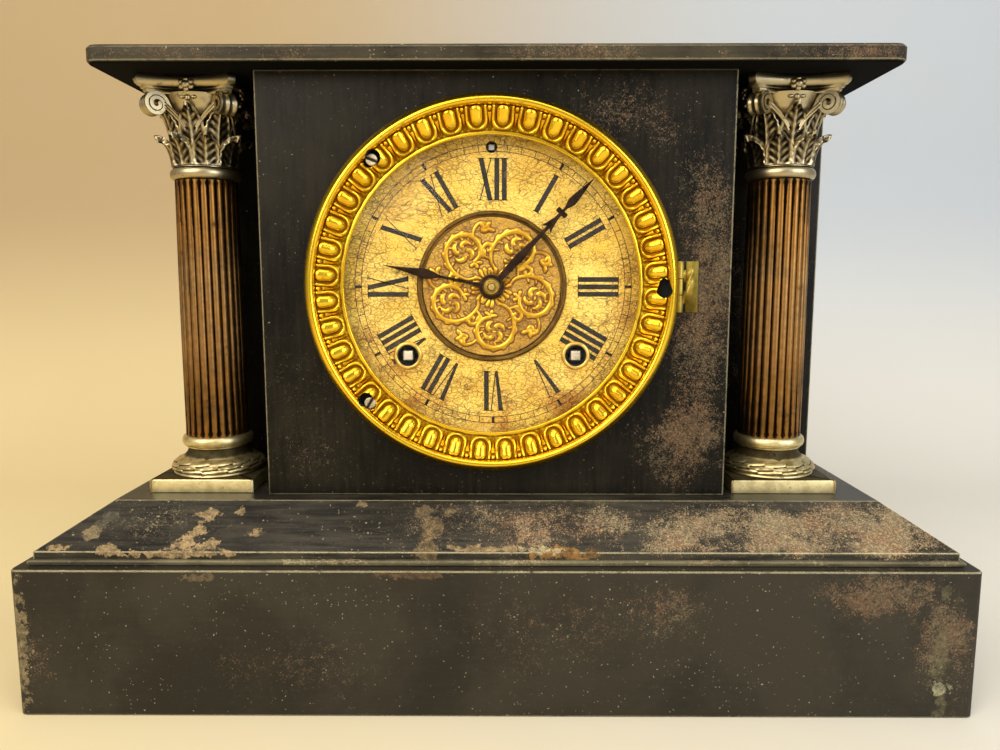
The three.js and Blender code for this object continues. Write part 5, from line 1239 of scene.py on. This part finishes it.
def markPiece(letter, place):
    text = bpy.data.curves.new("mark" + letter, "FONT")
    text.body, text.size = letter, dialPrint["markSize"] * mm
    made = linked("mark" + letter, text)
    mesh = baked(made)
    bpy.data.objects.remove(made)
    shift = Vector(place) + Vector((dialPrint["marks"][letter], 0, dialPrint["markUp"]))
    mesh.transform(Matrix.Translation(shift * mm) @ Matrix.Rotation(math.pi / 2, 4, "X"))
    mesh.materials.append(inkLook)
    return linked("mark" + letter, mesh)


def faceForward(piece):  # flat print looks out of the dial
    work = bmesh.new()
    work.from_mesh(piece.data)
    for face in work.faces:
        if face.normal.y > 0:
            face.normal_flip()
    work.to_mesh(piece.data)
    work.free()
    return piece


def clearPrint(piece, hole, radius):  # print stops at the rim of a hole in the dial
    middle, far, sides = Vector((hole.x, 0, hole.z)) * mm, radius * mm, dialPrint["holeSides"]
    work = bmesh.new()
    work.from_mesh(piece.data)

    def near(face):
        for k in (0, 2):
            span = [corner.co[k] for corner in face.verts]
            if min(span) >= middle[k] + far or max(span) <= middle[k] - far:
                return False
        return True

    for i in range(sides):
        a = 2 * math.pi * i / sides
        out = Vector((math.cos(a), 0, math.sin(a)))
        faces = [face for face in work.faces if near(face)]
        rims = [part for face in faces for part in (*face.edges, *face.verts)]
        cut = faces + list(dict.fromkeys(rims))  # each once, in the same order every run
        bmesh.ops.bisect_plane(work, geom=cut, plane_co=middle + out * radius * mm, plane_no=out)
    away = [(face, face.calc_center_median() - middle) for face in work.faces]
    gone = [face for face, at in away if math.hypot(at.x, at.z) < far]
    bmesh.ops.delete(work, geom=gone, context="FACES")
    work.to_mesh(piece.data)
    work.free()


def printPieces():
    place = (dialSpot.x + dialPrint["aside"], dialFace - dialPrint["lift"], dialSpot.z)
    low, high = dialPrint["track"]
    step, arcs = math.radians(dialPrint["arc"]), []
    for r in (low, high):
        near, far = r - dialPrint["line"] / 2, r + dialPrint["line"] / 2
        corners = ((-step, near), (step, near), (step, far), (-step, far))
        arcs.append(([(e * math.sin(a), 0, e * math.cos(a)) for a, e in corners], quadFace))
    marks = [ringOf("circles", arcs, round(180 / dialPrint["arc"]), dialAxis, inkLook, 0, place)]
    for name, wide, count in (("ticks", dialPrint["tick"], 60), ("blocks", dialPrint["block"], 12)):
        quad = [(x * wide / 2, 0, z) for x, z in ((-1, low), (1, low), (1, high), (-1, high))]
        marks.append(ringOf(name, [(quad, quadFace)], count, dialAxis, inkLook, 0, place))
    marks.append(newPiece("hours", numeralParts(), softAngle, place))
    marks[-1].data.materials.append(inkLook)
    marks += [markPiece(letter, place) for letter in dialPrint["marks"]]
    printed = faceForward(fuse("dial_print", marks))
    for hole, radius in dialPrint["holes"].items():
        clearPrint(printed, spot(hole), radius)
    dress(printed, "case", "dial_paper", finish=inkLook)


printPieces()
print("dial printed")


# embossed medallion

# relief and outline: how much wider the bars are, and how high, the outline being a painted shadow round the
# scrolls; grey: recess value at the foot and its fall, a painted shade at the foot up to a painted highlight
# on top
medallion = {"scrolls": 5, "start": 33.0, "smooth": 60, "ground": reach("dial_centre")[0].y, "lift": 0.02,
             "tall": 0.8, "grey": (0.75, 1.35), "relief": (0.0, 0.72), "outline": (0.42, 0.16)}
mainArm = ((-3.0, 7.6), (-6.6, 9.6), (-9.0, 14.6), (-8.8, 20.6), (-5.6, 25.6), (-0.4, 27.6), (4.8, 26.0),
           (7.6, 21.8), (7.2, 17.2), (4.4, 14.2), (1.0, 13.6))
smallArm = ((-6.8, 10.4), (-10.2, 9.8), (-12.6, 12.0), (-12.2, 15.0), (-9.9, 15.4), (-9.2, 13.4),
            (-10.6, 12.5))
rimArm = ((7.2, 22.6), (10.4, 25.0), (14.0, 25.2), (15.8, 22.8), (14.4, 20.9), (12.6, 21.8), (13.4, 23.0))
# leaves outside the scroll and a vein inside it: turn, bend, length, its loss along the scroll, thickness
fringe = {"steps": 4, "places": range(7, 34, 3), "outer": (-42, 66, 5.2, 0.04, 0.95),
          "inner": (30, 62, 4.2, 0.0, 0.6)}
eye = {"at": (0.0, 20.2), "commas": 4, "from": 2.0, "long": 5.2, "curl": 1.9,
       "shares": (0.18, 0.4, 0.65, 0.9)}
# place, way, fan, bend, bend by leaflet, length and thickness of each spray
sprays = (((13.6, 21.4), 62, 40, 16, 46, 5.0, 1.1), ((-9.8, 9.4), -62, 36, 0, -36, 4.6, 1.0),
          ((1.4, 13.4), 200, 40, 0, 50, 3.8, 0.95))
leaflet = {"parts": 5, "thin": 0.55, "end": 0.12, "steps": 2, "sides": 7}
heart = {"petals": 5, "out": 5.8, "apart": 14.4, "aside": 6, "bend": 34, "long": 4.4, "shorter": 0.35,
         "thick": 1.0}


def curvy(points, steps):  # a smooth line through the given points
    p = [Vector(q) for q in points]
    p = [2 * p[0] - p[1]] + p + [2 * p[-1] - p[-2]]
    line = []
    for before, here, there, after in zip(p, p[1:], p[2:], p[3:]):
        for k in range(steps):
            t = k / steps
            square = 2 * before - 5 * here + 4 * there - after
            cube = 3 * here - before - 3 * there + after
            line.append(0.5 * (2 * here + (there - before) * t + square * t * t + cube * t ** 3))
    return line + [p[-2]]


def scrollTube(bar, grow, high):  # a bar that swells along its first half and thins at its end
    points, thin, thick, end, steps, sides = bar
    line, radii = curvy(points, steps), []
    for i in range(len(line)):
        t = i / (len(line) - 1)
        swell = (thick - thin) * math.sin(min(1, t * 1.6) * math.pi / 2)
        radii.append(grow + thin + swell - (thick - end) * max(0, (t - 0.7) / 0.3))
    return tube([(q[0], 0, q[1]) for q in line], radii, sides, high)


def comma(start, along, bend, long, thick):  # one curled leaflet
    points, parts = [start], leaflet["parts"]
    for i in range(1, parts + 1):
        a, (x, z) = math.radians(along + bend * i / parts), points[-1]
        points.append((x + long / parts * math.sin(a), z + long / parts * math.cos(a)))
    return points, thick * leaflet["thin"], thick, leaflet["end"], leaflet["steps"], leaflet["sides"]


def scrollBars():  # points, radius at start, middle and end, steps and sides of each bar
    bars = [(mainArm, 0.7, 1.3, 0.9, 6, 8), (smallArm, 0.6, 1.05, 1.0, 6, 8), (rimArm, 0.55, 1.0, 0.95, 6, 8)]
    line = curvy(mainArm, fringe["steps"])
    for k in fringe["places"]:
        here, there = line[k], line[k + 1]
        way = math.degrees(math.atan2(there[0] - here[0], there[1] - here[1]))
        for turn, bend, long, less, thick in (fringe["outer"], fringe["inner"]):
            bars.append(comma((here[0], here[1]), way + turn, bend, long - less * k, thick))
    for k in range(eye["commas"]):  # pinwheel of fat commas in the scroll's eye
        a = math.radians(360 / eye["commas"] * k + 20)
        start = (eye["from"] * math.sin(a), eye["at"][1] + eye["from"] * math.cos(a))
        points = [start]
        for t in eye["shares"]:
            way = a + t * eye["curl"]
            far = t * eye["long"]
            points.append((start[0] + far * math.sin(way), start[1] + far * math.cos(way)))
        bars.append((points, 1.3, 1.25, 0.3, 4, 8))
    bars.append(comma((eye["at"][0], eye["at"][1] - 0.6), 0, 0, 1.2, 1.25))
    for k in (-1, 0, 1):
        for at, way, fan, bend, more, long, thick in sprays:
            bars.append(comma(at, way + fan * k, bend + more * k, long, thick))
    for k in range(-(heart["petals"] // 2), heart["petals"] // 2 + 1):
        way = heart["apart"] * k
        at = (heart["out"] * math.sin(math.radians(way)), heart["out"] * math.cos(math.radians(way)))
        long = heart["long"] - heart["shorter"] * abs(k)
        bars.append(comma(at, way - heart["aside"], heart["bend"] * (k or 1), long, heart["thick"]))
    return bars


def storeHeightShade(piece, floor, top):  # painted shade and highlight from the height above the ground: dark at the foot, bright on top
    y = np.empty(len(piece.data.vertices) * 3)
    piece.data.vertices.foreach_get("co", y)
    rise = (floor * mm - y[1::3]) / ((floor - top) * mm)
    foot, fall = medallion["grey"]
    value = (foot - fall * rise).astype(np.float32)
    piece.data.attributes.new("cavity", "FLOAT", "POINT").data.foreach_set("value", value)


def medallionPiece(name, shape, finish, lift=0.0):
    parts = [scrollTube(bar, *medallion[shape]) for bar in scrollBars()]
    return ringOf(name, parts, medallion["scrolls"], dialAxis, finish, medallion["start"],
                  (dialSpot.x, medallion["ground"] - lift, dialSpot.z), medallion["smooth"])


relief = medallionPiece("medallion_scrolls", "relief", medalFinish, medallion["lift"])
storeHeightShade(relief, medallion["ground"], medallion["ground"] - medallion["tall"])
dress(relief, "case", "gilt", finish=medalFinish)
outline = medallionPiece("medallion_painted_shadow", "outline", scrollShadowFinish)  # a painted shadow: the dark line round the scrolls
dress(outline, "case", "gilt", finish=scrollShadowFinish)
print("medallion:", len(relief.data.polygons), "faces")


# rings, eyelets, hands and nut, whose outlines are radius, back 0 or front 1, and height from there

centreRing = ((31.2, 0, 0), (31.2, 0, 0.45), (31.45, 0, 0.75), (31.8, 0, 0.55), (32.1, 0, 0.8),
              (32.6, 1, 0), (33.1, 1, 0), (33.6, 1, -0.35), (33.9, 0, 0.4), (33.9, 0, 0), (31.2, 0, 0))
eyelet = ((4.85, 0, 0), (4.85, 1, -0.3), (5.05, 1, -0.06), (5.45, 1, 0), (5.95, 1, -0.1), (6.35, 1, -0.42),
          (6.5, 1, -0.85), (5.36, 1, -0.9), (5.36, 0, 0), (4.85, 0, 0))
# a black sleeve behind each winding hole: painted shade that makes the hole look dark
shadeSleeve = ((4.84, 0, 0.9), (4.84, 0, -4.2), (3.3, 0, -4.2), (3.3, 0, -3.8), (4.6, 0, -3.8), (4.6, 0, 0.9),
          (4.84, 0, 0.9))
dishedNut = ((1.75, 0, 0), (3.9, 0, 0), (3.9, 0, 0.55), (3.55, 0, 1.0), (3.3, 1, -0.35), (3.0, 1, -0.1),
             (2.75, 1, -0.1), (2.6, 1, -0.35), (2.4, 1, -0.35), (2.25, 1, 0), (1.75, 1, 0), (1.75, 0, 0))


def forward(name, node, outline, sides):  # a ring turned about a node's middle, between its back and front
    low, high = reach(node)
    profile = [(r, (-low.y if end else -high.y) + up) for r, end, up in outline]
    at = spot(node)
    return newPiece(name, [swung(turned(profile, sides))], 35, (at.x, 0, at.z))


ring = forward("centre_moulding", "dial_centre_ring", centreRing, 120)
dress(ring, "case", "copper_bronze", "dial_centre_ring", finish=ringFinish)
for side in ("left", "right"):
    node = side + "_eyelet"
    dress(forward(side + "_rolled_eyelet", node, eyelet, 48), "case", "brass", node, finish=brightFinish)
    dress(forward(side + "_hole_shade_sleeve", node, shadeSleeve, 40), "case", "japanned_tin", finish=holeShadeFinish)

handShape = {  # blade as distance from the middle and half width
    "hour": {"node": "hour_hand", "body": "hour", "turn": 281.3, "boss": 5.5, "bore": 3.2,
             "blade": ((4.6, 1.0), (8, 0.75), (20, 0.6), (24, 0.62), (25, 1.0), (27, 1.65), (29.5, 2.15),
                       (32, 2.05), (36, 1.45), (42, 0.75), (49.6, 0.12))},
    "minute": {"node": "minute_hand", "body": "minute", "turn": 43.6, "boss": 4.9, "bore": 1.9,
               "blade": ((4.2, 1.35), (9, 1.55), (13, 1.75), (17.5, 2.05), (22, 1.65), (28, 1.1),
                         (33.5, 0.85), (36.3, 0.85), (34.9, 2.75), (37.4, 1.95), (41.4, 0.95), (43.9, 0.75),
                         (43.9, 2.45), (44.6, 2.75), (45.6, 2.75), (46.2, 2.4), (46.2, 0.7), (47.6, 0.6),
                         (51.4, 1.95), (55.4, 1.6), (65.3, 0.1))}}
handEdge = {"rim": 0.09, "proud": 0.04, "chamfer": (0.12, 0.1), "sides": 48, "smooth": 40}
keySquare = {"half": 2.12, "chamfer": 0.42, "long": 0.4, "front": -39.5, "lap": 1.0}


def handPiece(name, hand):
    low, high = reach(hand["node"])
    right = [(w, v) for v, w in hand["blade"]]
    outline = right + [(-w, v) for w, v in reversed(right)]
    turn = Matrix.Rotation(math.radians(hand["turn"]), 3, "Y")
    blade, faces = plate(outline, low.y, high.y, handEdge["rim"])
    blade = [tuple(turn @ Vector(p)) for p in blade]
    bore, rim, back, top = hand["bore"], hand["boss"], -high.y, -low.y + handEdge["proud"]
    inset, down = handEdge["chamfer"]
    boss = [(bore, back), (rim, back), (rim, -low.y - down), (rim - inset, top), (bore, top), (bore, back)]
    parts = [(blade, faces), swung(turned(boss, handEdge["sides"]))]
    piece = newPiece(name + "_hand_blade", parts, handEdge["smooth"], (dialSpot.x, 0, dialSpot.z))
    dress(piece, hand["body"], "blued_steel", hand["node"], finish=handFinish)


def squareTip(side):  # the squared end that takes the winding key, up to the dial's face
    at, tip = spot(side + "_winding_arbor"), reach(side + "_winding_arbor")[0].y
    half, front, points = keySquare["half"], keySquare["front"], []
    levels = ((tip + keySquare["lap"], half), (front + keySquare["long"], half),
              (front, half - keySquare["chamfer"]))
    for y, h in levels:
        points += [(-h, y, -h), (h, y, -h), (h, y, h), (-h, y, h)]
    piece = newPiece(side + "_key_square", [(points, capped(len(levels), 4))], 20, (at.x, 0, at.z))
    dress(piece, side + "_winding", "steel", finish=arborShineFinish)


for name, hand in handShape.items():
    handPiece(name, hand)
for side in ("time", "strike"):
    squareTip(side)
dress(forward("dished_nut", "hand_nut", dishedNut, 48), "minute", "brass", "hand_nut", finish=nutFinish)
print("hands and rings turned")


# hinge leaf with its three slots, on the panel beside the bezel

hingeSlots = {"round": 0.18, "wide": 1.1, "from": 3.4, "at": ((-12.0, -7.6), (-1.8, 1.8), (7.6, 12.0)),
              "floor": 0.2, "over": 2.0}
boxFaces = [(0, 1, 3, 2), (4, 6, 7, 5), (0, 4, 5, 1), (2, 3, 7, 6), (0, 2, 6, 4), (1, 5, 7, 3)]


def hingePiece():
    low, high = reach("case_hinge_leaf")
    left, mid, slots = low.x + hingeSlots["from"], (low.z + high.z) / 2, []
    depths = (low.y - hingeSlots["over"], high.y - hingeSlots["floor"])
    for ends in hingeSlots["at"]:
        box = [(x, y, mid + z) for x in (left, left + hingeSlots["wide"]) for y in depths for z in ends]
        slots.append((box, boxFaces))
    piece = softened("case_hinge_leaf", hingeSlots["round"], hingeFinish)
    # the slot walls and floors are painted black, a painted shade in the slots
    cutAway(piece, slots, holeShadeFinish)
    dress(piece, "case", "antique_brass", "case_hinge_leaf")


hingePiece()
print("hinge leaf slotted")


# floor, lights and camera

# wall and floor colours: warm on the left and cool on the right, painted in for the light's colour and
# fall-off; the floor part is paler than the wall part
stageSet = {"left": (174, 151, 113), "right": (180, 186, 192), "floorLeft": (222, 202, 152),
            "floorRight": (216, 212, 202), "grain": (190, 180, 160), "front": -1600, "back": 620,
            "sweep": 350, "high": 1900, "half": 2600, "steps": 24}


def backdrop():
    sweep, steps = stageSet["sweep"], stageSet["steps"]
    start = stageSet["back"] - sweep
    outline = [(stageSet["front"], 0.0), (start, 0.0)]
    for i in range(1, steps + 1):
        a = i / steps * math.pi / 2
        outline.append((start + sweep * math.sin(a), sweep * (1 - math.cos(a))))
    outline.append((stageSet["back"], stageSet["high"]))
    points = [(x, y, z) for x in (-stageSet["half"], stageSet["half"]) for y, z in outline]
    sheet = newPiece("pale_floor", [(points, gridFaces(2, len(outline)))], 60)
    if sheet.data.polygons[0].normal.z < 0:
        sheet.data.flip_normals()
    finish, tree, shader, where = newFinish("paleFloor", Specular_IOR_Level=0.2)
    split = put(tree, "ShaderNodeSeparateXYZ", {0: where}).outputs
    # painted light: the sheet turns from warm on the left to cool on the right
    across = spread(tree, split[0], -0.35, 0.4)
    wall = blend(tree, across, tint(*stageSet["left"]), tint(*stageSet["right"]))
    ground = blend(tree, across, tint(*stageSet["floorLeft"]), tint(*stageSet["floorRight"]))
    colour = blend(tree, spread(tree, split[2], 0.0, 0.3), ground, wall)
    mottle = calc(tree, "MULTIPLY", grain(tree, where, 9.0, 5.0), 0.12)
    colour = blend(tree, mottle, colour, tint(*stageSet["grain"]))
    behind = put(tree, "ShaderNodeNewGeometry").outputs["Backfacing"]  # seen through from behind
    rough = spread(tree, grain(tree, where, 30.0), 0.3, 0.7, 0.75, 0.9)
    feed(tree, shader, Base_Color=colour, Roughness=rough, Alpha=calc(tree, "SUBTRACT", 1.0, behind))
    sheet.data.materials.append(finish)


lamps = {"windowLeft": {"at": (-0.8, -1.15, 1.0), "size": 1.1, "power": 23.0, "colour": (1.0, 0.94, 0.83)},
         "windowRight": {"at": (1.0, -0.95, 0.65), "size": 0.9, "power": 13.0, "colour": (0.88, 0.93, 1.0)},
         "overhead": {"at": (0.0, -0.35, 1.5), "size": 1.2, "power": 9.5, "colour": (1.0, 0.97, 0.92)}}
room = {"colour": (0.98, 0.95, 0.9, 1.0), "power": 0.4, "lookAt": (0, 0, 0.14)}


def setLamps():
    for name, values in lamps.items():
        light = bpy.data.lights.new(name, "AREA")
        light.shape, light.size = "SQUARE", values["size"]
        light.energy, light.color = values["power"], values["colour"]
        lamp = linked(name, light)
        lamp.location = values["at"]
        aim = Vector(room["lookAt"]) - Vector(values["at"])
        lamp.rotation_euler = aim.to_track_quat("-Z", "Y").to_euler()
    world = bpy.data.worlds.new("room")
    world.use_nodes = True
    sky = world.node_tree.nodes["Background"].inputs
    sky[0].default_value, sky[1].default_value = room["colour"], room["power"]
    bpy.context.scene.world = world
    bpy.context.scene.view_settings.view_transform = "Standard"


viewpoint = {"at": (0.00395, -0.38540, 0.18453), "down": 0.12447, "aside": 0.00577, "lens": 27.36,
             "sensor": 36.0, "near": 0.01}


def setCamera():
    lens = bpy.data.cameras.new("photoView")
    lens.lens, lens.sensor_width, lens.sensor_fit = viewpoint["lens"], viewpoint["sensor"], "HORIZONTAL"
    lens.clip_start = viewpoint["near"]
    camera = linked("photoView", lens)
    camera.location = viewpoint["at"]
    camera.rotation_euler = (math.pi / 2 - viewpoint["down"], 0.0, viewpoint["aside"])
    bpy.context.scene.camera = camera


backdrop()
setLamps()
setCamera()
print("stage set")
